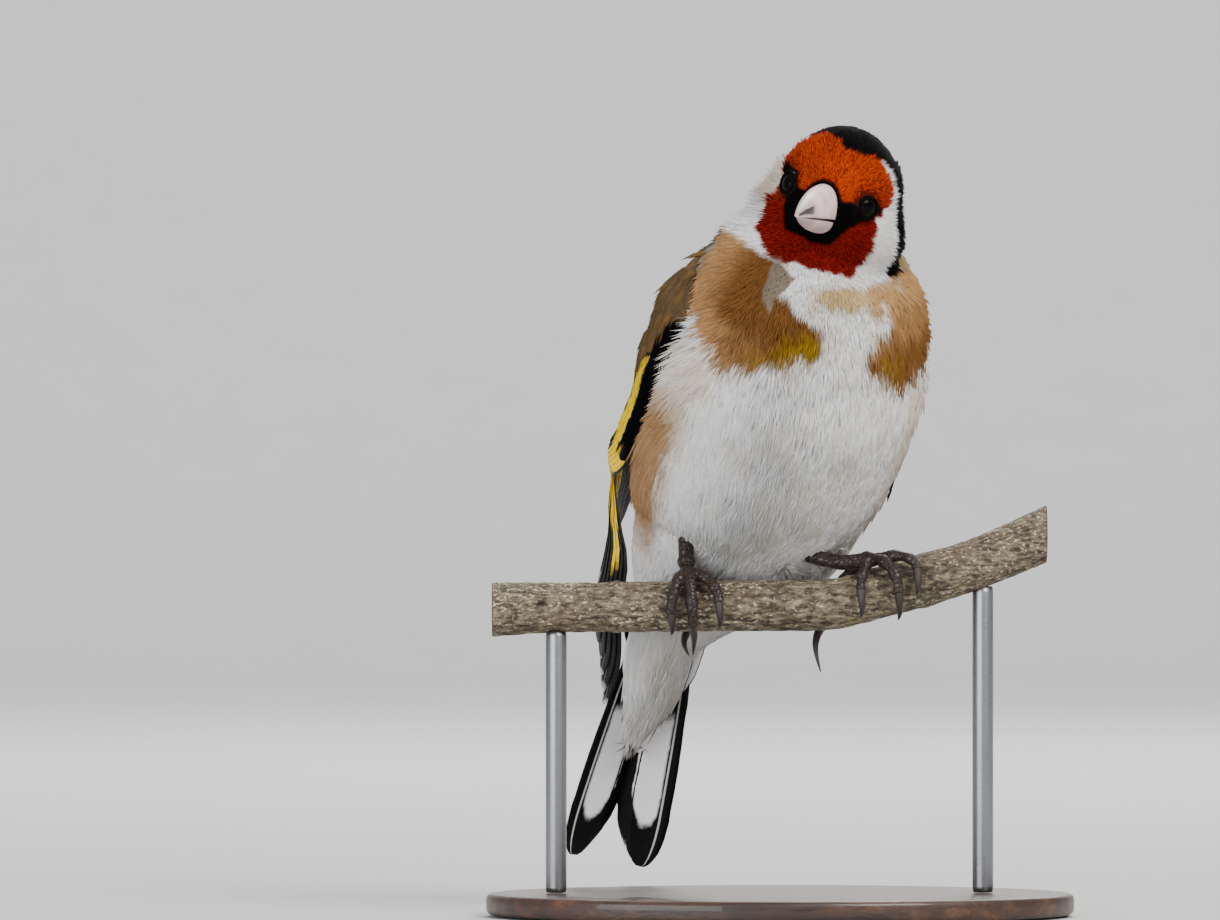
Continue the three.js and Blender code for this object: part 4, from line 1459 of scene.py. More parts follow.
@dataclass
class CoatTree:
    """The Geometry Nodes tree that grows a coat of tufts from a skin."""

    name: str = "coat"

    def build(self) -> bpy.types.GeometryNodeTree:
        """Returns the tree.

        Its inputs are the tuft, the zone that grows, the seed, the unevenness and the finish.
        The skin gives the lie, length, width, rise and density of its tufts as attributes.
        """
        tree = bpy.data.node_groups.new(self.name, "GeometryNodeTree")
        tree.interface.new_socket("Geometry", in_out="OUTPUT", socket_type="NodeSocketGeometry")
        kinds = {
            "Geometry": "NodeSocketGeometry",
            "Tuft": "NodeSocketObject",
            "Zone": "NodeSocketInt",
            "Seed": "NodeSocketInt",
            "Uneven": "NodeSocketFloat",
            "Finish": "NodeSocketMaterial",
        }
        for label, kind in kinds.items():
            tree.interface.new_socket(label, in_out="INPUT", socket_type=kind)
        graph = Graph(tree)
        given = graph.node("NodeGroupInput")

        def named(name: str, kind: str = "FLOAT") -> Value:
            """Returns an attribute of the skin."""
            found = graph.node("GeometryNodeInputNamedAttribute", {"data_type": kind}, {"Name": name})
            return found.out("Attribute")

        def vector(operation: str, *values: Value) -> Value:
            """Returns a Vector Math node's result."""
            inputs = dict(enumerate(values))
            return graph.node("ShaderNodeVectorMath", {"operation": operation}, inputs).out(0)

        def scaled(value: Value, size: Value) -> Value:
            """Returns a vector times a number."""
            inputs = {0: value, "Scale": size}
            return graph.node("ShaderNodeVectorMath", {"operation": "SCALE"}, inputs).out(0)

        def chance(low: float, high: float, seed: int) -> Value:
            """Returns a random number for each tuft."""
            inputs = {2: low, 3: high, "Seed": seed}
            return graph.node("FunctionNodeRandomValue", {"data_type": "FLOAT"}, inputs).out(1)

        settings = {"data_type": "INT", "operation": "EQUAL"}
        inputs = {2: named("zone", "INT"), 3: given.out("Zone")}
        zone = graph.node("FunctionNodeCompare", settings, inputs)
        inputs = {
            "Mesh": given.out("Geometry"),
            "Selection": zone.out(0),
            "Density": named("density"),
            "Seed": given.out("Seed"),
        }
        settings = {"distribute_method": "RANDOM"}
        grown = graph.node("GeometryNodeDistributePointsOnFaces", settings, inputs)
        normal = grown.out("Normal")
        points = grown.out("Points")
        lie = named("lie", "FLOAT_VECTOR")
        aside = vector("CROSS_PRODUCT", normal, lie)
        uneven = given.out("Uneven")
        rise = named("rise") * chance(0.55, 1.5, 3)
        way = vector("ADD", lie, scaled(aside, uneven * chance(-1.0, 1.0, 5)))
        way = vector("ADD", way, scaled(normal, rise))
        settings = {"primary_axis": "X", "secondary_axis": "Z"}
        turned = graph.node("FunctionNodeAxesToRotation", settings, {0: way, 1: normal}).out(0)
        long = named("long") * chance(0.7, 1.25, 7)
        wide = named("wide") * chance(0.75, 1.3, 9)
        size = graph.node("ShaderNodeCombineXYZ", None, {0: long, 1: wide, 2: long}).out(0)
        place = graph.node("GeometryNodeInputPosition").out(0)
        kept = {"root": place, "skin_normal": normal, "way_out": way, "reach": long}
        for label, value in kept.items():
            settings = {"data_type": "FLOAT" if label == "reach" else "FLOAT_VECTOR", "domain": "POINT"}
            stored = {"Geometry": points, "Name": label, "Value": value}
            points = graph.node("GeometryNodeStoreNamedAttribute", settings, stored).out(0)
        inputs = {"Object": given.out("Tuft"), "As Instance": True}
        tuft = graph.node("GeometryNodeObjectInfo", None, inputs).out("Geometry")
        inputs = {"Points": points, "Instance": tuft, "Rotation": turned, "Scale": size}
        coat = graph.node("GeometryNodeInstanceOnPoints", None, inputs).out(0)
        coat = graph.node("GeometryNodeRealizeInstances", None, {"Geometry": coat}).out(0)
        inputs = {"Geometry": coat, "Material": given.out("Finish")}
        coat = graph.node("GeometryNodeSetMaterial", None, inputs).out(0)
        graph.node("NodeGroupOutput", None, {"Geometry": coat})
        return tree


@dataclass
class Coat:
    """The coat of small feathers over the skin and the wings' shoulders."""

    voxel: float = 0.6
    depth: float = 1.25
    cover: float = 8.5
    body_cover: float = 10.5
    uneven: float = 0.16
    patch: float = 0.003
    soften: float = 0.62
    corners: int = 7

    def __post_init__(self) -> None:
        """Makes the tuft and the tree that repeats it."""
        self.tuft = Tuft().build()
        self.tree = CoatTree().build()
        self.bill_root = HEAD.point(BILL.root + 1.5, 0.0, -BILL.droop)

    def skin(self) -> bpy.types.Object:
        """Returns the skin of trunk, head and thighs, inside them by the coat's depth."""
        parts = Parts()
        parts.add(*TRUNK.form())
        parts.add(*HEAD.form())
        for foot in FEET.values():
            parts.add(*self.thigh(foot))
        skin = fuse(parts.build("skin"), self.voxel, 10)
        mesh = skin.data
        points, normals = read_points(mesh), read_normals(mesh)
        distance, _ = TRUNK.chart(points)
        depth = self.depth_at(points, distance)
        points = points - normals * depth[:, None]
        for side in SIDES.values():
            u, v, height, way = WING.read(side, points, distance)
            under = WING.cover(u, v, 0.0, 0.8) * np.maximum(height + 1.0, 0)
            facing = dot(way, normals) > 0.1
            points = points - way * (under * facing)[:, None]
        for side in SIDES.values():
            middle, out = EYE.find(side)
            off = points - middle
            near = np.linalg.norm(off, axis=1)
            ring = 1 - smooth(near, EYE.ball + 0.1, EYE.ball + 0.9)
            sink = np.maximum(dot(off, out) - 1.2, 0) * ring
            points = points - out * sink[:, None]
        write_points(mesh, points)
        # painted shade: the skin between the tufts is darker than the plumage, far darker on the face
        face = smooth(HEAD.local(points)[0], 1, 4)[:, None]
        self.paint(mesh, points, PLUMAGE.at(points) * mix(0.8, 0.2, face))
        return skin

    @staticmethod
    def thigh(foot: Foot) -> tuple[Array, list]:
        """Returns the cone of a feathered thigh round the top of its shank."""
        line = Curve(foot.shank)
        start, end = line.at(-0.0), line.at(0.42)
        t = np.linspace(-0.25, 1, 12)[:, None]
        middle = mix(start, end, t)
        return limb(middle, mix(3.0, 1.45, np.clip(t[:, 0], 0, 1)), 20)

    def depth_at(self, points: Array, distance: Array) -> Array:
        """Returns how deep the skin lies under the solids' surface."""
        away = np.linalg.norm(points - self.bill_root, axis=1)
        depth = np.interp(away, [2, 6, 12, 18, 26], [0.3, 0.5, 0.7, 1.0, self.depth])
        return depth * np.interp(distance, [0, 14], [0.5, 1])

    @staticmethod
    def paint(mesh: bpy.types.Mesh, points: Array, colours: Array) -> None:
        """Stores the plumage's colours on a mesh."""
        write_attribute(mesh, "plumage", np.hstack([colours, np.ones((len(points), 1))]))

    def comb(self, skin: bpy.types.Object) -> None:
        """Stores on the skin how its tufts lie, and how long, wide and dense they are."""
        mesh = skin.data
        points, normals = read_points(mesh), read_normals(mesh)
        distance, angle = TRUNK.chart(points)
        _, along, belly, left, _ = TRUNK.section(distance)
        forward, aside, up = HEAD.local(points)
        away = np.linalg.norm(points - self.bill_root, axis=1)
        radiate = unit(points - self.bill_root)
        head = np.where(forward > 0, smooth(up, -13, -8), smooth(up, -14, -4))
        way = mix(-along, radiate, head[:, None])
        sweep = np.sign(angle) * band(np.abs(angle), 58, 104, 10) * smooth(distance, 44, 60) * (1 - head)
        way = way + (left * np.sign(angle)[:, None] * -0.15 - belly) * (np.abs(sweep) * 0.75)[:, None]
        thigh = np.zeros(len(points))
        for foot in FEET.values():
            line = Curve(foot.shank)
            start, end = line.at(0.0), line.at(0.45)
            axis = unit(end - start)
            off = points - start
            t = off @ axis
            gap = np.linalg.norm(off - t[:, None] * axis, axis=1)
            near = (1 - smooth(gap, 3.0, 4.0)) * smooth(t, 0.5, 2.5)
            thigh = np.maximum(thigh, near)
            way = mix(way, axis[None], near[:, None])
        way = unit(way - normals * dot(way, normals)[:, None])
        swirl = 0.16 * Ripple(7.0, 31).at(points) + 0.1 * Ripple(2.5, 32).at(points)
        swirl = swirl * np.interp(away, [4, 16], [0.5, 1])
        way = way * np.cos(swirl)[:, None] + np.cross(normals, way) * np.sin(swirl)[:, None]
        long = np.interp(away, [2, 5, 9, 14, 19, 27], [0.55, 0.75, 1.1, 1.7, 3.0, 4.8])
        long = np.where(up > 6, np.minimum(long, np.interp(forward, [-6, 2], [2.4, 1.3])), long)
        bulge = smooth(-aside, 6.5, 9.0) * band(up, -9.0, 3.0, 1.5) * band(forward, -4.0, 4.5, 1.0)
        long = mix(long, 3.6, bulge * 0.8)
        side_on = band(np.abs(angle), 62, 100, 12) * band(distance, 48, 74, 4)
        long = long * (1 + 0.35 * side_on) * np.interp(distance, [0, 10, 24], [0.75, 0.9, 1])
        long = mix(long, 1.7, thigh)
        parting = PLUMAGE.parting(distance, angle)
        near_parting = smooth(1.0 - np.hypot((aside + 1.8) / 3.2, (up + 9.3) / 1.8), 0.0, 0.3)
        long = mix(long, 0.9, np.maximum(parting, near_parting))
        wide = np.interp(away, [2, 9, 19, 27], [0.12, 0.15, 0.19, 0.21])
        wide = np.where(np.abs(angle) > 108, wide * 1.5, wide)
        wide = mix(wide, 0.2, thigh)
        rise = np.interp(away, [2, 6, 12, 20, 28], [0.42, 0.6, 0.45, 0.24, 0.07])
        rise = np.where(up > 6, np.interp(forward, [0, 5], [0.12, 0.42]), rise)
        clump = 0.75 + 0.5 * smooth(Ripple(2.2, 33).at(points), -0.8, 0.8)
        rise = rise * clump + 0.1 * side_on + 0.25 * bulge
        density = np.interp(away, [10, 20], [self.cover, self.body_cover]) / (long * wide)
        for side in SIDES.values():
            u, v, height, _ = WING.read(side, points, distance)
            density = density * (1 - WING.cover(u, v, 1.6, 0.5) * (height < 1.0))
            middle, out = EYE.find(side)
            off = points - middle
            near = np.linalg.norm(off, axis=1)
            density = density * smooth(near, EYE.ball + 0.25, EYE.ball + 0.5)
            ring = 1 - smooth(near, EYE.ball + 0.4, EYE.ball + 1.8)
            long = mix(long, 0.6, ring)
            rise = mix(rise, 0.15, ring)
            spread = unit(off - out * dot(off, out)[:, None])
            lift = unit(spread - normals * dot(spread, normals)[:, None])
            way = unit(mix(way, lift, (ring * (dot(way, lift) < 0.2))[:, None]))
        inside = np.hypot(aside, up + BILL.droop + 0.3) < 2.5
        density = density * np.where(inside & (forward > 5), 0.0, 1.0)
        density = density * smooth(distance, 0.4, 1.6)
        zones = self.zones(points, distance, angle)
        self.store(mesh, zones, density, lie=way, long=long, wide=wide, rise=rise)

    @staticmethod
    def store(mesh: bpy.types.Mesh, zones: Array, density: Array, **sizes: Array) -> None:
        """Stores how a coat grows on a mesh, where the tree reads it.

        Args:
            mesh: the skin that it grows on.
            zones: the zone of each vertex.
            density: how many tufts grow there on a square millimetre.
            sizes: their lie, length, width and rise, in millimetres.
        """
        for name, rows in sizes.items():
            write_attribute(mesh, name, rows * MM if name in ("long", "wide") else rows)
        write_attribute(mesh, "density", density / MM**2)
        made = mesh.attributes.new("zone", "INT", "FACE")
        firsts = read_rows(mesh.polygons, "loop_start", 1, np.int32)
        corners = read_rows(mesh.loops, "vertex_index", 1, np.int32)
        made.data.foreach_set("value", zones[corners[firsts]].astype(np.int32))

    @staticmethod
    def zones(points: Array, distance: Array, angle: Array) -> Array:
        """Returns the zone of each point."""
        forward, _, up = HEAD.local(points)
        zones = np.full(len(points), Zone.BELLY.value)
        turned = np.abs(angle)
        zones[distance > 62] = Zone.BREAST.value
        zones[(turned > 58) & (angle > 0)] = Zone.FLANK_LEFT.value
        zones[(turned > 58) & (angle <= 0)] = Zone.FLANK_RIGHT.value
        zones[turned > 112] = Zone.BACK.value
        zones[distance < 30] = Zone.VENT.value
        zones[(distance > 77)] = Zone.NECK.value
        head = np.where(forward > 0, up > -11, up > -8)
        zones[head] = Zone.CHEEKS.value
        zones[head & (up > 5) & (forward < 3)] = Zone.CROWN.value
        zones[head & (forward > 3) & (up > -9)] = Zone.FACE.value
        zones[head & (forward > 3) & (up > 1.5)] = Zone.FOREHEAD.value
        return zones

    def shoulder(self, side: int) -> bpy.types.Object:
        """Returns the wing's shoulder pad as a skin of its own, ready for its tufts."""
        start, end, low, high = WING.pad
        u = np.linspace(start + 0.4, end + 4, 60)[:, None]
        v = np.linspace(low + 0.3, high - 0.3, 44)[None]
        s = (u - start) / (end - start)
        round_it = np.sqrt(np.maximum(0, 1 - np.abs(2 * np.minimum(s, 0.5) - 1) ** 3))
        w = (2 * (v - low) / (high - low) - 1) * (0.35 + 0.65 * round_it)
        v = low + (w + 1) / 2 * (high - low)
        u, v = np.broadcast_arrays(u, v)
        height = WING.pad_height(u, v) + np.interp(u, [10, 24], [0, 1.3])
        upper = WING.point(side, u, v, height - 0.35)
        lower = WING.point(side, u, v, 0 * height - 0.2)
        points, faces = leaf(upper, lower)
        parts = Parts()
        parts.add(points, outward(points, faces))
        pad = parts.build("pad_" + ("left" if side > 0 else "right"))
        mesh = pad.data
        grid_u, grid_v = np.tile(u.ravel(), 2), np.tile(v.ravel(), 2)
        top = np.arange(len(points)) < len(points) // 2
        ahead = WING.point(side, grid_u + 0.5, grid_v - 0.1, 1.0) - WING.point(side, grid_u, grid_v, 1.0)
        normals = read_normals(mesh)
        way = unit(ahead - normals * dot(ahead, normals)[:, None])
        brown = smooth(grid_v, 8, 11)
        long = mix(2.6, 4.4, brown) * np.interp(grid_u, [-5, 6, 20], [0.7, 1, 1.15])
        wide = mix(0.42, 0.5, brown)
        density = self.cover * 1.15 / (long * wide) * top * (1 - smooth(grid_u, 19, 25))
        zone = Zone.SHOULDER_LEFT if side > 0 else Zone.SHOULDER_RIGHT
        zones = np.full(len(points), zone.value)
        rise = np.full(len(points), 0.12)
        self.store(mesh, zones, density, lie=way, long=long, wide=wide, rise=rise)
        # painted shade: the pad's skin is darker than the plumage that grows on it
        self.paint(mesh, points, PLUMAGE.wing(grid_u, grid_v, points) * 0.6)
        return pad

    def grow(self, skin: bpy.types.Object, zone: Zone) -> bpy.types.Object | None:
        """Grows one zone's tufts.

        Args:
            skin: the skin that they grow on.
            zone: the zone.

        Returns:
            A piece of plain mesh, or None if nothing grows.
        """
        obj = show("coat_" + zone.name.lower(), skin.data)
        grower = obj.modifiers.new("grow", "NODES")
        grower.node_group = self.tree
        sockets = {s.name: s.identifier for s in self.tree.interface.items_tree if s.in_out == "INPUT"}
        given = {
            "Tuft": self.tuft,
            "Zone": zone.value,
            "Seed": zone.value + 3,
            "Uneven": self.uneven,
            "Finish": DownFinish().material(),
        }
        for label, value in given.items():
            grower[sockets[label]] = value
        settle(obj)
        mesh = obj.data
        if not len(mesh.vertices):
            bpy.data.objects.remove(obj)
            return None
        self.finish_tufts(mesh, zone)
        return obj

    def finish_tufts(self, mesh: bpy.types.Mesh, zone: Zone) -> None:
        """Colours a zone's tufts with painted shade at their roots and a painted highlight on the face's
        tips, softens their normals and maps each to its own patch.
        """
        root = read_attribute(mesh, "root").astype(float) / MM - RAISED
        way_out = read_attribute(mesh, "way_out").astype(float)
        reach = read_attribute(mesh, "reach").astype(float) / MM
        along = read_attribute(mesh, "way").astype(float)
        skin_normal = read_attribute(mesh, "skin_normal").astype(float)
        roots = root[:: self.corners]
        marks = roots + unit(way_out[:: self.corners]) * (reach[:: self.corners, None] * 0.6)
        if zone in (Zone.SHOULDER_LEFT, Zone.SHOULDER_RIGHT):
            side = 1 if zone is Zone.SHOULDER_LEFT else -1
            distance, _ = TRUNK.chart(marks)
            u, v, _, _ = WING.read(side, marks, distance)
            colours = PLUMAGE.wing(u, v, marks)
        else:
            colours = PLUMAGE.at(marks)
        rng = np.random.default_rng(zone.value + 50)
        warm = smooth(colours[:, :1] - 3 * colours[:, 1:2], 0.05, 0.15) * (zone in FACE_ZONES)
        light = 1 + mix(0.09, 0.35, warm) * rng.normal(size=(len(roots), 1)).clip(-2, 2)
        colours = np.repeat(colours * light, self.corners, 0)
        warm = np.repeat(warm, self.corners, 0)
        # painted shade: each tuft darker towards its root, where the tufts over it shade it, far darker
        # on the red face
        plain = np.interp(along, [0, 0.42, 1], [0.84, 0.98, 1.06])[:, None]
        bright = np.interp(along, [0, 0.42, 1], [0.16, 0.5, 1.15])[:, None]
        # painted highlight: the face's tufts brighter and more orange towards their tips
        face_tip_highlight = mix(1.0, np.array([1.45, 3.1, 3.0]), smooth(along, 0.45, 1)[:, None])
        colours = np.clip(colours * mix(plain, bright * face_tip_highlight, warm), 0, 0.95)
        self.paint(mesh, root, colours)
        own = read_normals(mesh)
        normals = unit(mix(own, skin_normal, self.soften))
        mesh.normals_split_custom_set_from_vertices(normals.tolist())
        self.map_patches(mesh, roots, along)
        for name in ("root", "way_out", "reach", "way", "skin_normal"):
            mesh.attributes.remove(mesh.attributes[name])

    def map_patches(self, mesh: bpy.types.Mesh, roots: Array, along: Array) -> None:
        """Maps each tuft to a small patch at its root's place on an unwrap of the skin.

        Args:
            mesh: the tufts.
            roots: the root of each tuft.
            along: how far along its tuft each vertex lies.
        """
        distance, angle = TRUNK.chart(roots)
        forward, aside, up = HEAD.local(roots)
        body = np.stack([angle / 360 + 0.5, 0.02 + 0.55 * distance / TRUNK.long], 1)
        turn = np.arctan2(aside, forward) / (2 * math.pi) + 0.5
        crown = np.stack([turn, 0.62 + 0.36 * np.clip((up + 13) / 24, 0, 1)], 1)
        head = np.where(forward > 0, up > -11.5, up > -9)
        middle = np.where(head[:, None], crown, body)
        middle = np.clip(middle, self.patch, 1 - self.patch)
        turns = np.tile(np.array([0, 1, 2, 0, 1, 2, 0]) / 2 - 0.5, len(roots))
        local = np.stack([turns, along - 0.5], 1) * self.patch
        for layer in list(mesh.uv_layers):
            mesh.uv_layers.remove(layer)
        write_map(mesh, "OFBake", np.repeat(middle, self.corners, 0) + local)

    def build(self) -> None:
        """Builds the skin, the shoulders and every zone's tufts."""
        skin = self.skin()
        self.comb(skin)
        pads = {side: self.shoulder(side) for side in SIDES.values()}
        sources = {Zone.SHOULDER_LEFT: pads[1], Zone.SHOULDER_RIGHT: pads[-1]}
        for zone in Zone:
            piece = self.grow(sources.get(zone, skin), zone)
            if piece:
                slot = "face_feather" if zone in HEAD_ZONES else "breast_feather"
                dress(piece, DownFinish(), slot)
        dress(skin, SkinFinish(), "breast_feather", "torso", "neck", "head", "thigh_left", "thigh_right")
        for pad in pads.values():
            dress(pad, SkinFinish(), "flight_feather")
        bpy.data.objects.remove(self.tuft)


# Limbs and feathers


def limb(middle: Array, radius: Array, around: int, shape: Callable | None = None) -> tuple[Array, list]:
    """Returns a closed round tube along a line.

    Args:
        middle: the points of its middle line.
        radius: the radius at each point.
        around: how many points go round.
        shape: what multiplies the radius, from the row and the outward direction.
    """
    way = unit(np.gradient(middle, axis=0))
    first = unit(np.cross(way, np.array([0.31, 0.2, 0.93])))
    second = unit(np.cross(way, first))
    turn = circle(around)[None, :, None]
    out = first[:, None] * np.cos(turn) + second[:, None] * np.sin(turn)
    size = np.broadcast_to(np.asarray(radius)[:, None, None], out.shape[:2] + (1,))
    if shape:
        size = size * shape(out)[..., None]
    points, faces = loft(middle[:, None] + out * size)
    return points, outward(points, faces)


@dataclass(frozen=True)
class FeatherRow:
    """A row of wing feathers, from its outermost to its innermost.

    root and tip are the (u, v) of those two. yellow holds where the mark starts and ends along
    the vane and how far in from the outer edge it starts. pale is the share of the length that
    a pale tip takes, and brown how brown the vane is.
    """

    name: str
    count: int
    root: tuple
    tip: tuple
    wide: tuple[float, float]
    layer: tuple[float, float]
    full: float
    yellow: tuple[float, float, float] = NO_MARK
    pale: float = 0.0
    brown: float = 0.0


WING_ROWS = (
    FeatherRow(
        "primary", 9, ((14, -0.8), (20, 7.0)), ((71.0, 2.6), (52, 10)), (6.0, 5), (0, 1.5), 0.76,
        (0.0, 0.62, 0.03), 0.02,
    ),
    FeatherRow(
        "secondary", 6, ((18, 8.0), (19, 13)), ((48, 9.0), (44, 13.6)), (5.4, 5.6), (1.6, 2.2), 0.8,
        (0.0, 0.34, 0.0), 0.07,
    ),
    FeatherRow(
        "tertial", 3, ((17, 14), (15, 17)), ((45, 14.8), (34, 18.8)), (6.4, 5.6), (2.3, 2.7), 0.7,
        pale=0.12,
    ),
    FeatherRow(
        "primary_covert", 5, ((11, -0.6), (12, 3)), ((27, -0.4), (27, 3.2)), (3.0, 3.2), (0.6, 1.1),
        0.7, (0.2, 1.2, 0.0),
    ),
    FeatherRow(
        "greater_covert", 8, ((10, 4.4), (9, 17)), ((27, 5), (24, 18)), (4.6, 5), (1.3, 3.2), 0.8,
        (0.3, 1.2, 0.0),
    ),
    FeatherRow(
        "median_covert", 7, ((5, 3), (5, 15)), ((14, 3.4), (12.5, 16)), (5, 5.0), (1.2, 2.6), 0.8
    ),
    FeatherRow("alula", 3, ((4, -1.0), (4, 0.8)), ((17, -1.0), (14, 0.7)), (2.4, 2.4), (0.8, 1.1), 0.7),
)
# how far along each primary its yellow reaches
PRIMARY_YELLOW = (0.5, 0.6, 0.7, 0.74, 0.66, 0.4, 0.3, 0.3, 0.3)


@dataclass
class Vane:
    """One feather's vane on a flat chart of its own wing or tail."""

    root: Array
    tip: Array
    wide: float
    height: float
    full: float
    shaft: float = 0.42
    rows: int = 26
    across: int = 9
    thick: float = 0.11

    def add(self, parts: Parts, place: Callable, outer: int, seed: int, **marks: tuple) -> None:
        """Adds the vane to its parts.

        Args:
            parts: the parts that it joins.
            place: gives the points of the chart at u, v and a height.
            outer: -1 or 1, the side of v that the outer web is on.
            seed: sets how its edge is notched.
            marks: the marks that the finish reads.
        """
        s = np.linspace(0, 1, self.rows)
        s = (1 - (1 - s) ** 1.35)[:, None]
        w = np.linspace(-1, 1, self.across)[None]
        run = self.tip - self.root
        side = unit(np.array([-run[1], run[0]])) * outer
        past = np.clip((s - self.full) / (1.004 - self.full), 0, 1)
        opening = mix(0.5, 1, np.sin(np.minimum(s / self.full, 1) * math.pi / 2))
        share = np.where(s < self.full, opening, np.sqrt(1 - past**2))
        rng = np.random.default_rng(seed)
        notch = 1 - 0.05 * rng.random((self.rows, 1)) * (np.abs(w) > 0.99)
        half = 0.5 * self.wide * np.maximum(share, 0.05) * notch
        off = half * w
        u = self.root[0] + run[0] * s + side[0] * off
        v = self.root[1] + run[1] * s + side[1] * off
        thin = self.thick * (1 - 0.6 * w**2) * np.where(s > 0.97, 0.5, 1)
        rib = 0.07 * np.exp(-(((w + 1) / 2 - self.shaft) / 0.06) ** 2) * (1 - 0.6 * s)
        height = self.height + 0.2 + 0 * off
        upper, lower = place(u, v, height + thin / 2 + rib), place(u, v, height - thin / 2 - rib)
        points, faces = leaf(upper, lower)
        chart = np.stack(np.broadcast_arrays(s, (w + 1) / 2), -1).reshape(-1, 2)
        chart = np.vstack([chart, chart])
        parts.add(points, outward(points, faces), chart, shaft=self.shaft, **marks)


@dataclass
class Wing:
    """A folded wing of separate feathers in tiers, which swell a little behind the shoulder."""

    side: str
    swell: Sequence[Sequence[float]] = (
        (14, 22, 27, 32, 36, 43, 49, 54),
        (0.0, 0.1, 0.3, 1.2, 1.9, 1.2, 0.3, 0.0),
    )
    draw_in: float = 3.3
    splay: float = 0.38
    flare: float = 2.2
    sink: float = 1.3

    def place(self, u: Array, v: Array, height: Array) -> Array:
        """Returns points of the wing's chart, with the swell of its tiers and the set of its tip.

        The right wing swells behind the shoulder, and its tip is turned out. The left one
        sinks a little into the flank.

        Args:
            u: how far back from the wrist the points lie.
            v: how far up towards the back they lie.
            height: how far over the chart they lie.

        Returns:
            The points.
        """
        if self.side == "left":
            low = band(u, 28, 50, 6) * (1 - smooth(v, 2, 7))
            return WING.point(SIDES[self.side], u, v, height - self.sink * low)
        swell = np.interp(u, *self.swell) * (1 - 0.6 * smooth(v, 4, 14))
        turned = (self.splay * v - self.draw_in) * smooth(u, 37, 50) + self.flare * smooth(u, 58, 72)
        return WING.point(SIDES[self.side], u, v, height + swell + turned)

    def build(self) -> None:
        """Builds each tier as a piece, and stands them for the wing's node."""
        for k, row in enumerate(WING_ROWS):
            parts = Parts()
            rng = np.random.default_rng(40 + k)
            for i in range(row.count):
                share = i / (row.count - 1)
                root = mix(np.array(row.root[0], float), np.array(row.root[1], float), share)
                tip = mix(np.array(row.tip[0], float), np.array(row.tip[1], float), share)
                tip[0] += 0.5 * (rng.random() - 0.5)
                vane = Vane(root, tip, mix(*row.wide, share), mix(*row.layer, share), row.full)
                start, end, inner = row.yellow
                if row.name == "primary":
                    end = PRIMARY_YELLOW[i]
                    inner = 0.1 if i == 0 else -0.1
                    tip[0] = mix(row.tip[0][0], row.tip[1][0], share**1.2)
                if row.name == "primary_covert" and i < 2:
                    end = 0.0
                yellow = (start, end - 0.04 * rng.random(), inner)
                tint = (row.pale * (0.7 + 0.6 * rng.random()), row.brown, 0.25)
                marks = {"yellow": yellow, "white": NO_MARK, "tint": tint}
                vane.add(parts, self.place, 1, 100 * k + i, **marks)
            piece = parts.build(f"{row.name}_{self.side}")
            nodes = [f"wing_{self.side}"] if row.name == "primary" else []
            dress(piece, VaneFinish(), "flight_feather", *nodes)


@dataclass
class Tail:
    """The tail's twelve feathers, and the coverts over and under their roots."""

    root: tuple[float, float, float] = (-13.1, 13.2, 49.8)
    to_tip: tuple[float, float, float] = (-0.235, 0.33, -0.914)
    turn: float = 12.0
    pairs: int = 6
    long: tuple[float, float] = (45.0, 49.6)
    wide: tuple[float, float] = (5.4, 5.8)
    full: float = 0.82
    apart: tuple[float, float] = (2.5, 5.0)
    root_apart: tuple[float, float] = (0.4, 2.2)
    layer: tuple[float, float] = (-3.4, -1.4)
    root_at: float = 6.0
    coverts: int = 7
    covert_long: tuple[float, float] = (22.0, 31.5)
    hollow: float = 0.035

    def __post_init__(self) -> None:
        """Works out the directions of the tail's chart."""
        self.along = unit(np.array(self.to_tip))
        turn = math.radians(self.turn)
        facing = np.array([math.sin(turn), -math.cos(turn), 0])
        self.belly = unit(facing - self.along * (facing @ self.along))
        self.left = np.cross(self.belly, self.along)

    def point(self, u: Array, v: Array, height: Array) -> Array:
        """Returns points of the tail's chart, at a height towards the belly."""
        lift = height + self.hollow * v * v
        axes = (u, self.along), (v, self.left), (lift, self.belly)
        return np.array(self.root) + sum(x[..., None] * way for x, way in axes)

    def build(self) -> None:
        """Builds the feathers and the coverts, and stands them for the tail's node."""
        parts = Parts()
        for side in SIDES.values():
            for k in range(self.pairs):
                share = k / (self.pairs - 1)
                root = np.array([self.root_at, side * mix(*self.root_apart, share)])
                tip = np.array([mix(*self.long, math.sqrt(share)), side * mix(*self.apart, share)])
                height = mix(*self.layer, share) + (0.12 if side > 0 else 0)
                vane = Vane(root, tip, mix(*self.wide, share), height, self.full, shaft=0.24)
                inward = self.pairs - 1 - k
                white = ((0.44, 0.88, 0.28), (0.56, 0.86, 0.3), NO_MARK)[min(inward, 2)]
                tint = (0.05 if inward > 1 else 0.0, 0.0, 0.4 if inward else 0.9)
                marks = {"white": white, "yellow": NO_MARK, "tint": tint}
                vane.add(parts, self.point, -side, 300 + k, **marks)
        dress(parts.build("tail_feathers"), VaneFinish(), "flight_feather", "tail")
        parts = Parts()
        for over in (-1, 1):
            for i in range(self.coverts):
                aside = 2 * i / (self.coverts - 1) - 1
                long = mix(*self.covert_long, 1 - abs(aside)) * (0.8 if over < 0 else 1)
                above = self.layer[0] - 0.7 - 0.15 * (1 - abs(aside))
                under = 0.2 + 0.9 * (1 - aside**2)
                height = (above if over < 0 else under) + 0.11 * (i % 2)
                root, tip = np.array([7, 4 * aside]), np.array([long, 3.2 * aside])
                vane = Vane(root, tip, 4.4, height, 0.6, 0.5)
                white = NO_MARK if over < 0 else (-1.0, 2.0, -1.0)
                marks = {"white": white, "yellow": NO_MARK, "tint": (0.08, 0.0, 0.2)}
                vane.add(parts, self.point, 1, 330 + i, **marks)
        dress(parts.build("tail_coverts"), VaneFinish(), "flight_feather")


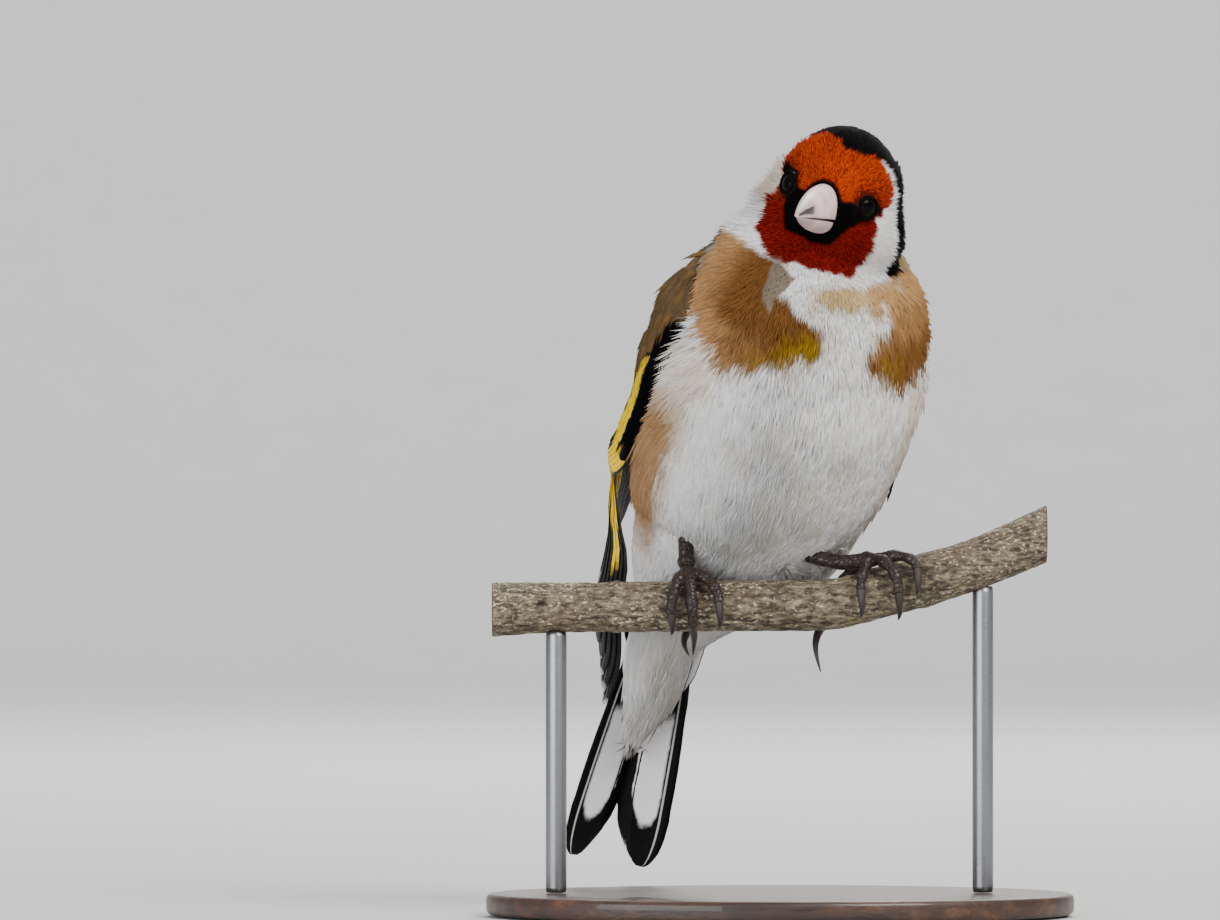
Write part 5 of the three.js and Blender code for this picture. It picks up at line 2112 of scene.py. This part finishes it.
@dataclass
class Face:
    """The bill, the eyes and their lids."""

    lid_rows: int = 64

    def build(self) -> None:
        """Builds the pieces of the face."""
        # painted shade: the lower half gets a darker, greyer copy of the horn, without the dark patch
        lower = BillFinish("bill_lower_horn_shaded", 0xD9C4C2, 0xBFA2A0, streak=0.0)
        for name, up, finish in (("upper", 1, BillFinish()), ("lower", -1, lower)):
            parts = Parts()
            parts.add(*BILL.half(up))
            dress(parts.build(f"bill_horn_{name}"), finish, "bill", f"bill_{name}")
        for name, side in SIDES.items():
            middle, out = EYE.find(side)
            self.eye(name, middle, out)
            self.lid(name, middle, out)

    def eye(self, name: str, middle: Array, out: Array) -> None:
        """Builds an eyeball whose chart runs from its pupil to its back."""
        rows, around, reach = 36, 48, 2.2
        ways = ball_ways(rows, around)
        first = unit(np.cross(out, np.array([0, 0, 1.0])))
        second = np.cross(out, first)
        off = ways[..., :1] * first + ways[..., 1:2] * second + ways[..., 2:] * out
        points, faces = loft(middle + EYE.ball * off)
        lean = np.repeat(np.linspace(0, 1, rows)[:, None], around, 1) * reach
        chart = np.stack([lean, 0 * lean], -1).reshape(-1, 2)
        parts = Parts()
        parts.add(points, outward(points, faces), np.vstack([chart, [0, 0], [reach, 0]]))
        dress(parts.build(f"eyeball_{name}"), EyeFinish(), "eye", f"eye_{name}")

    def lid(self, name: str, middle: Array, out: Array) -> None:
        """Builds the ring of lids round an eye, with fine folds."""
        first = unit(np.cross(out, np.array([0, 0, 1.0])))
        second = np.cross(out, first)
        turn = circle(self.lid_rows)[:, None]
        ring = first * np.cos(turn) + second * np.sin(turn)
        high = math.sqrt((EYE.ball + 0.15) ** 2 - EYE.ring**2)
        line = middle + out * high + ring * EYE.ring
        thin = EYE.lid * 0.62 * (1 + 0.12 * np.sin(turn * 22))
        lean = circle(16)[None, :, None]
        rings = line[:, None] + (ring[:, None] * np.cos(lean) + out * np.sin(lean)) * thin[:, None]
        rows, around = rings.shape[:2]
        faces = []
        for k in range(rows):
            a, b = k * around, (k + 1) % rows * around
            for j in range(around):
                n = (j + 1) % around
                faces.append((a + j, b + j, b + n, a + n))
        points = rings.reshape(-1, 3)
        parts = Parts()
        parts.add(points, outward(points, faces))
        dress(parts.build(f"lid_{name}"), LidFinish(), "leg_skin")


@dataclass
class Leg:
    """A bare shank, its toes over the branch and their claws."""

    side: str
    toe: float = 0.92
    ankle: float = 1.3
    shank: float = 1.1
    claw: float = 0.62
    gap: float = 0.3
    scutes: int = 13

    def toe_line(self, foot: Foot, toe: Toe) -> Curve:
        """Returns the middle line of a toe over the branch."""
        s = np.linspace(0, 1, 9)
        top = 74 if toe.name == "hind" else 104
        x = mix(foot.root, toe.x, np.sin(s * math.pi / 2))
        off = self.gap + self.toe + 0.08 + 0.35 * np.sin(math.pi * s)
        return Curve(BRANCH.point(x, mix(top, toe.to, s), off))

    def claw_line(self, toe: Toe) -> Curve:
        """Returns the middle line of a claw."""
        s = np.linspace(0, 1, 5)
        off = self.gap + self.toe + 0.08 + 0.25 * np.sin(math.pi * s)
        line = BRANCH.point(toe.x, toe.to + toe.claw * 2 * s * (1 - 0.35 * s), off)
        line[:, 0] += (-0.7 if toe.name == "hind" else 0.2) * np.sin(math.pi * s)
        line[:, 2] -= toe.drop * s * s
        return Curve(line)

    def build(self) -> None:
        """Builds the foot and its claws."""
        foot = FEET[self.side]
        parts = Parts()
        t = np.linspace(0, 1, 100)
        for toe in foot.toes:
            line = self.toe_line(foot, toe)
            radius = self.toe * toe.wide * (1.0 - 0.22 * t + 0.1 * np.cos(t * math.pi * 6))
            plates = np.abs(np.sin(t * math.pi * self.scutes)) ** 0.6
            middle = line.at(t)
            outer = unit(middle - BRANCH.middle(middle[:, 0])[:, :3])

            def scute(out: Array, outer: Array = outer, plates: Array = plates) -> Array:
                """Returns the swelling of the scutes on the outer side of the toe."""
                face = dot(out, outer[:, None])
                swell = 0.13 * (plates[:, None] - 0.6) * smooth(face, -0.2, 0.6)
                return 1 + swell - 0.05 * smooth(-face, 0.2, 1)

            parts.add(*limb(middle, radius, 24, scute))
        line = Curve(foot.shank)
        middle = line.at(t)
        front = unit(np.array([0.2, -1, 0.3]))
        plates = np.abs(np.sin(t * math.pi * 9)) ** 0.5
        radius = mix(self.ankle, self.shank, smooth(t, 0, 0.4))

        def shield(out: Array) -> Array:
            """Returns the swelling of the scutes on the front of the shank."""
            return 1 + 0.1 * (plates[:, None] - 0.6) * smooth(dot(out, front), 0, 0.6)

        parts.add(*limb(middle, radius, 24, shield))
        ball = line.at(1.0) + ball_ways(16, 20) * (self.ankle + 0.02)
        points, faces = loft(ball)
        parts.add(points, outward(points, faces))
        bare = fuse(parts.build(f"foot_{self.side}"), 0.13, 2, 0.4)
        self.wear(bare)
        dress(bare, LegFinish(), "leg_skin", f"shank_{self.side}", f"toes_{self.side}")
        parts = Parts()
        for toe in foot.toes:
            s = np.linspace(0, 1, 26)
            radius = self.claw * (1.05 - 0.9 * s**1.3)
            points, faces = limb(self.claw_line(toe).at(s), radius, 16)
            chart = np.stack([np.repeat(s, 16), np.tile(np.linspace(0, 1, 16), 26)], 1)
            parts.add(points, faces, np.vstack([chart, [0, 0], [1, 0]]))
        nodes = [f"claw_{self.side}_{toe.name}" for toe in foot.toes]
        dress(parts.build(f"claws_{self.side}"), ClawFinish(), "claw", *nodes)

    @staticmethod
    def wear(bare: bpy.types.Object) -> None:
        """Stores how far each point stands out, which the finish shows as edges pale from wear."""
        mesh = bare.data
        points, normals = read_points(mesh), read_normals(mesh)
        a, b = read_rows(mesh.edges, "vertices", 2, np.int32).T
        total, count = np.zeros_like(points), np.zeros(len(points))
        for one, other in ((a, b), (b, a)):
            np.add.at(total, one, points[other])
            np.add.at(count, one, 1)
        bulge = dot(points - total / np.maximum(count, 1)[:, None], normals)
        write_attribute(mesh, "worn", smooth(bulge, 0.004, 0.03))


@dataclass
class Perch:
    """The cut branch and the plain stand that holds it up."""

    long: float = 84.0
    deep: float = 60.0
    thick: float = 3.0
    bevel: float = 0.8
    rod: float = 1.5
    rods_at: tuple[float, float] = (-32.0, 29.0)
    scars: Sequence[tuple[float, float]] = ((-23.5, 0.7), (21.0, 0.8))
    rows: int = 320
    around: int = 110

    def build(self) -> None:
        """Builds the branch, its cut ends, the base and the rods."""
        self.branch()
        self.base()
        for k, x in enumerate(self.rods_at):
            row = BRANCH.middle(x)
            foot, top = self.thick - LIFT + 0.1, row[2] - row[3] + 0.45
            s = np.array([0, 0.002, 0.02, 0.98, 0.998, 1])
            radius = self.rod * np.array([0.8, 0.94, 1, 1, 0.94, 0.8])
            middle = np.stack([0 * s + x, 0 * s + row[1], mix(foot, top, s)], 1)
            parts = Parts()
            parts.add(*limb(middle, radius, 48))
            dress(parts.build(f"rod_{k + 1}"), SteelFinish(), "stand_steel", f"stand_rod_{k + 1}")

    def branch(self) -> None:
        """Builds the branch with long cracked bark, and its two sawn ends."""
        x = np.linspace(BRANCH.start, BRANCH.end, self.rows)[:, None]
        angle = np.linspace(0, 360, self.around, endpoint=False)[None]
        x, angle = np.broadcast_arrays(x, angle)
        base = BRANCH.point(x, angle, 0.0).reshape(-1, 3)
        long = base * np.array([0.28, 1, 1])
        ridges = 0.5 + 0.5 * Ripple(1.1, 61, 20).at(long)
        broad = 0.5 + 0.5 * Ripple(9.0, 62).at(base * np.array([0.6, 1, 1]))
        rings = sum(np.exp(-(((base[:, 0] - at) / wide) ** 2)) for at, wide in self.scars)
        relief = (0.55 * ridges + 0.45 * broad).reshape(x.shape)
        off = -0.3 + 0.26 * relief + 0.18 * rings.reshape(x.shape)
        points, faces = loft(BRANCH.point(x, angle, off), closed=False)
        parts = Parts()
        chart = np.stack([x / 80, angle / 360], -1).reshape(-1, 2)
        parts.add(points, faces, chart, relief=np.clip(relief.ravel(), 0, 1))
        bark = parts.build("branch_bark")
        caps = Parts()
        for end in (0, -1):
            rim = BRANCH.point(x[end], angle[end], off[end])
            middle = rim.mean(0)
            inward = np.array([1.0 if end == 0 else -1.0, 0, 0])
            shares = np.array([1.0, 0.97, 0.9, 0.6, 0.3, 0.08])[:, None, None]
            dish = np.array([0, -0.15, -0.1, -0.05, -0.02, 0])[:, None, None]
            rings = middle + (rim - middle) * shares + inward * dish
            points = np.vstack([rings.reshape(-1, 3), middle])
            faces = loft(rings, closed=False)[1]
            ring = (len(rings) - 1) * self.around + np.arange(self.around)
            faces += [(p, q, len(points) - 1) for p, q in zip(ring, np.roll(ring, -1))]
            if end == 0:
                faces = [tuple(reversed(face)) for face in faces]
            chart = np.repeat(shares[:, :, 0], self.around, 1)
            chart = np.stack([chart, 0 * chart], -1).reshape(-1, 2)
            caps.add(points, faces, np.vstack([chart, [0, 0]]))
        ends = caps.build("branch_ends")
        flip_inside_out(bark.data)
        dress(bark, BarkFinish(), "bark", "branch")
        dress(ends, CutFinish(), "bark")

    def base(self) -> None:
        """Builds the oval wooden base with a rounded edge."""
        radius = self.long / 2
        b = self.bevel
        turns = np.radians([0, 22.5, 45, 67.5, 90])
        low = [(radius - b + b * math.sin(a), b - b * math.cos(a)) for a in turns]
        high = [(radius - b + b * math.cos(a), self.thick - b + b * math.sin(a)) for a in turns]
        top = self.thick
        profile = [(0.01, 0), (radius * 0.6, 0), *low, *high, (radius * 0.6, top), (0.01, top)]
        turn = circle(160)
        squeeze = self.deep / self.long
        rings = []
        for out, z in profile:
            x, y = out * np.cos(turn), out * squeeze * np.sin(turn)
            rings.append(np.stack([x, y, 0 * turn + z - LIFT], 1))
        points, faces = loft(np.array(rings))
        parts = Parts()
        parts.add(points, outward(points, faces))
        dress(parts.build("plinth"), PlinthFinish(), "stand_wood", "stand_base")


def flip_inside_out(mesh: bpy.types.Mesh) -> None:
    """Turns an open tube's faces if they point inwards."""
    points = read_points(mesh)
    face = mesh.polygons[len(mesh.polygons) // 2]
    middle = points[list(face.vertices)].mean(0)
    axis = BRANCH.middle(middle[0])[:3]
    if np.dot(np.array(face.normal), middle - axis) < 0:
        mesh.flip_normals()


@dataclass
class Studio:
    """The camera at the photograph's angle, soft light, and a pale floor and wall."""

    eye: tuple[float, float, float] = (-24.3, -1500.0, 64.9)
    seen_wide: float = 174.3
    sensor: float = 36.0

    def build(self) -> None:
        """Builds the camera, the lights, the floor and the wall."""
        data = bpy.data.cameras.new("camera")
        data.sensor_width = self.sensor
        data.lens = self.sensor * -self.eye[1] / self.seen_wide
        data.clip_start, data.clip_end = 0.05, 20
        camera = show("camera", data)
        camera.location = [v * MM for v in self.eye]
        camera.rotation_euler = (math.pi / 2, 0, 0)
        bpy.context.scene.camera = camera
        self.sheet()
        bird = (0.0, 0.0, 0.07)
        lights = (
            ("key", (0.55, -0.75, 0.75), bird, 0.5, 14.5, (1.0, 0.97, 0.93)),
            ("fill", (-0.7, -0.9, 0.02), bird, 0.9, 17.5, (0.95, 0.97, 1.0)),
            ("rim", (0.15, 0.8, 0.7), bird, 0.6, 7.0, (1.0, 0.98, 0.95)),
            ("wall", (0.0, 0.9, 1.9), (0.0, 2.3, 0.6), 1.6, 45.0, (0.97, 0.98, 1.0)),
        )
        for name, place, aim, size, power, colour in lights:
            self.light(name, place, aim, size, power, colour)
        world = bpy.data.worlds.new("studio")
        bpy.context.scene.world = world
        world.use_nodes = True
        sky = world.node_tree.nodes["Background"]
        sky.inputs["Color"].default_value = (0.9, 0.93, 1.0, 1)
        sky.inputs["Strength"].default_value = 0.5

    @staticmethod
    def light(
        name: str, place: Sequence, aim: Sequence, size: float, power: float, colour: Sequence
    ) -> None:
        """Adds a square soft light that looks at a point.

        Args:
            name: what it is called.
            place: where it hangs, in metres.
            aim: the point that it looks at.
            size: how wide it is.
            power: how bright it is, in watts.
            colour: the colour of its light.
        """
        data = bpy.data.lights.new(name, "AREA")
        data.shape = "SQUARE"
        data.size = size
        data.energy = power
        data.color = colour
        lamp = show(name, data)
        lamp.location = place
        way = np.array(aim) - np.array(place)
        flat = math.hypot(way[0], way[1])
        lamp.rotation_euler = (math.atan2(flat, -way[2]), 0, math.atan2(-way[0], way[1]))

    def sheet(self) -> None:
        """Adds the floor and the wall behind it as one curved sheet."""
        bend, reach, wall = 0.7, 1.6, 3.0
        turns = np.linspace(0, math.pi / 2, 20)
        profile = [(-4.0, 0.0), (reach, 0.0)]
        profile += [(reach + bend * math.sin(a), bend - bend * math.cos(a)) for a in turns[1:]]
        profile += [(reach + bend, wall)]
        points, faces = [], []
        for y, z in profile:
            points += [(-4.0, y, z - 0.0003), (4.0, y, z - 0.0003)]
        for k in range(len(profile) - 1):
            faces.append((2 * k, 2 * k + 1, 2 * k + 3, 2 * k + 2))
        mesh = bpy.data.meshes.new("floor")
        mesh.from_pydata(points, [], faces)
        mesh.polygons.foreach_set("use_smooth", np.ones(len(faces), bool))
        floor = show("floor", mesh)
        mesh.materials.append(PaleFinish().material())


def main() -> None:
    """Builds the whole model."""
    logging.basicConfig(level=logging.INFO, format="%(message)s")
    legs = (Leg("left"), Leg("right"))
    wings = (Wing("left"), Wing("right"))
    for piece in (Studio(), Perch(), *legs, Face(), Tail(), *wings, Coat()):
        LOG.info("building %s", type(piece).__name__)
        piece.build()


if __name__ == "__main__":
    main()
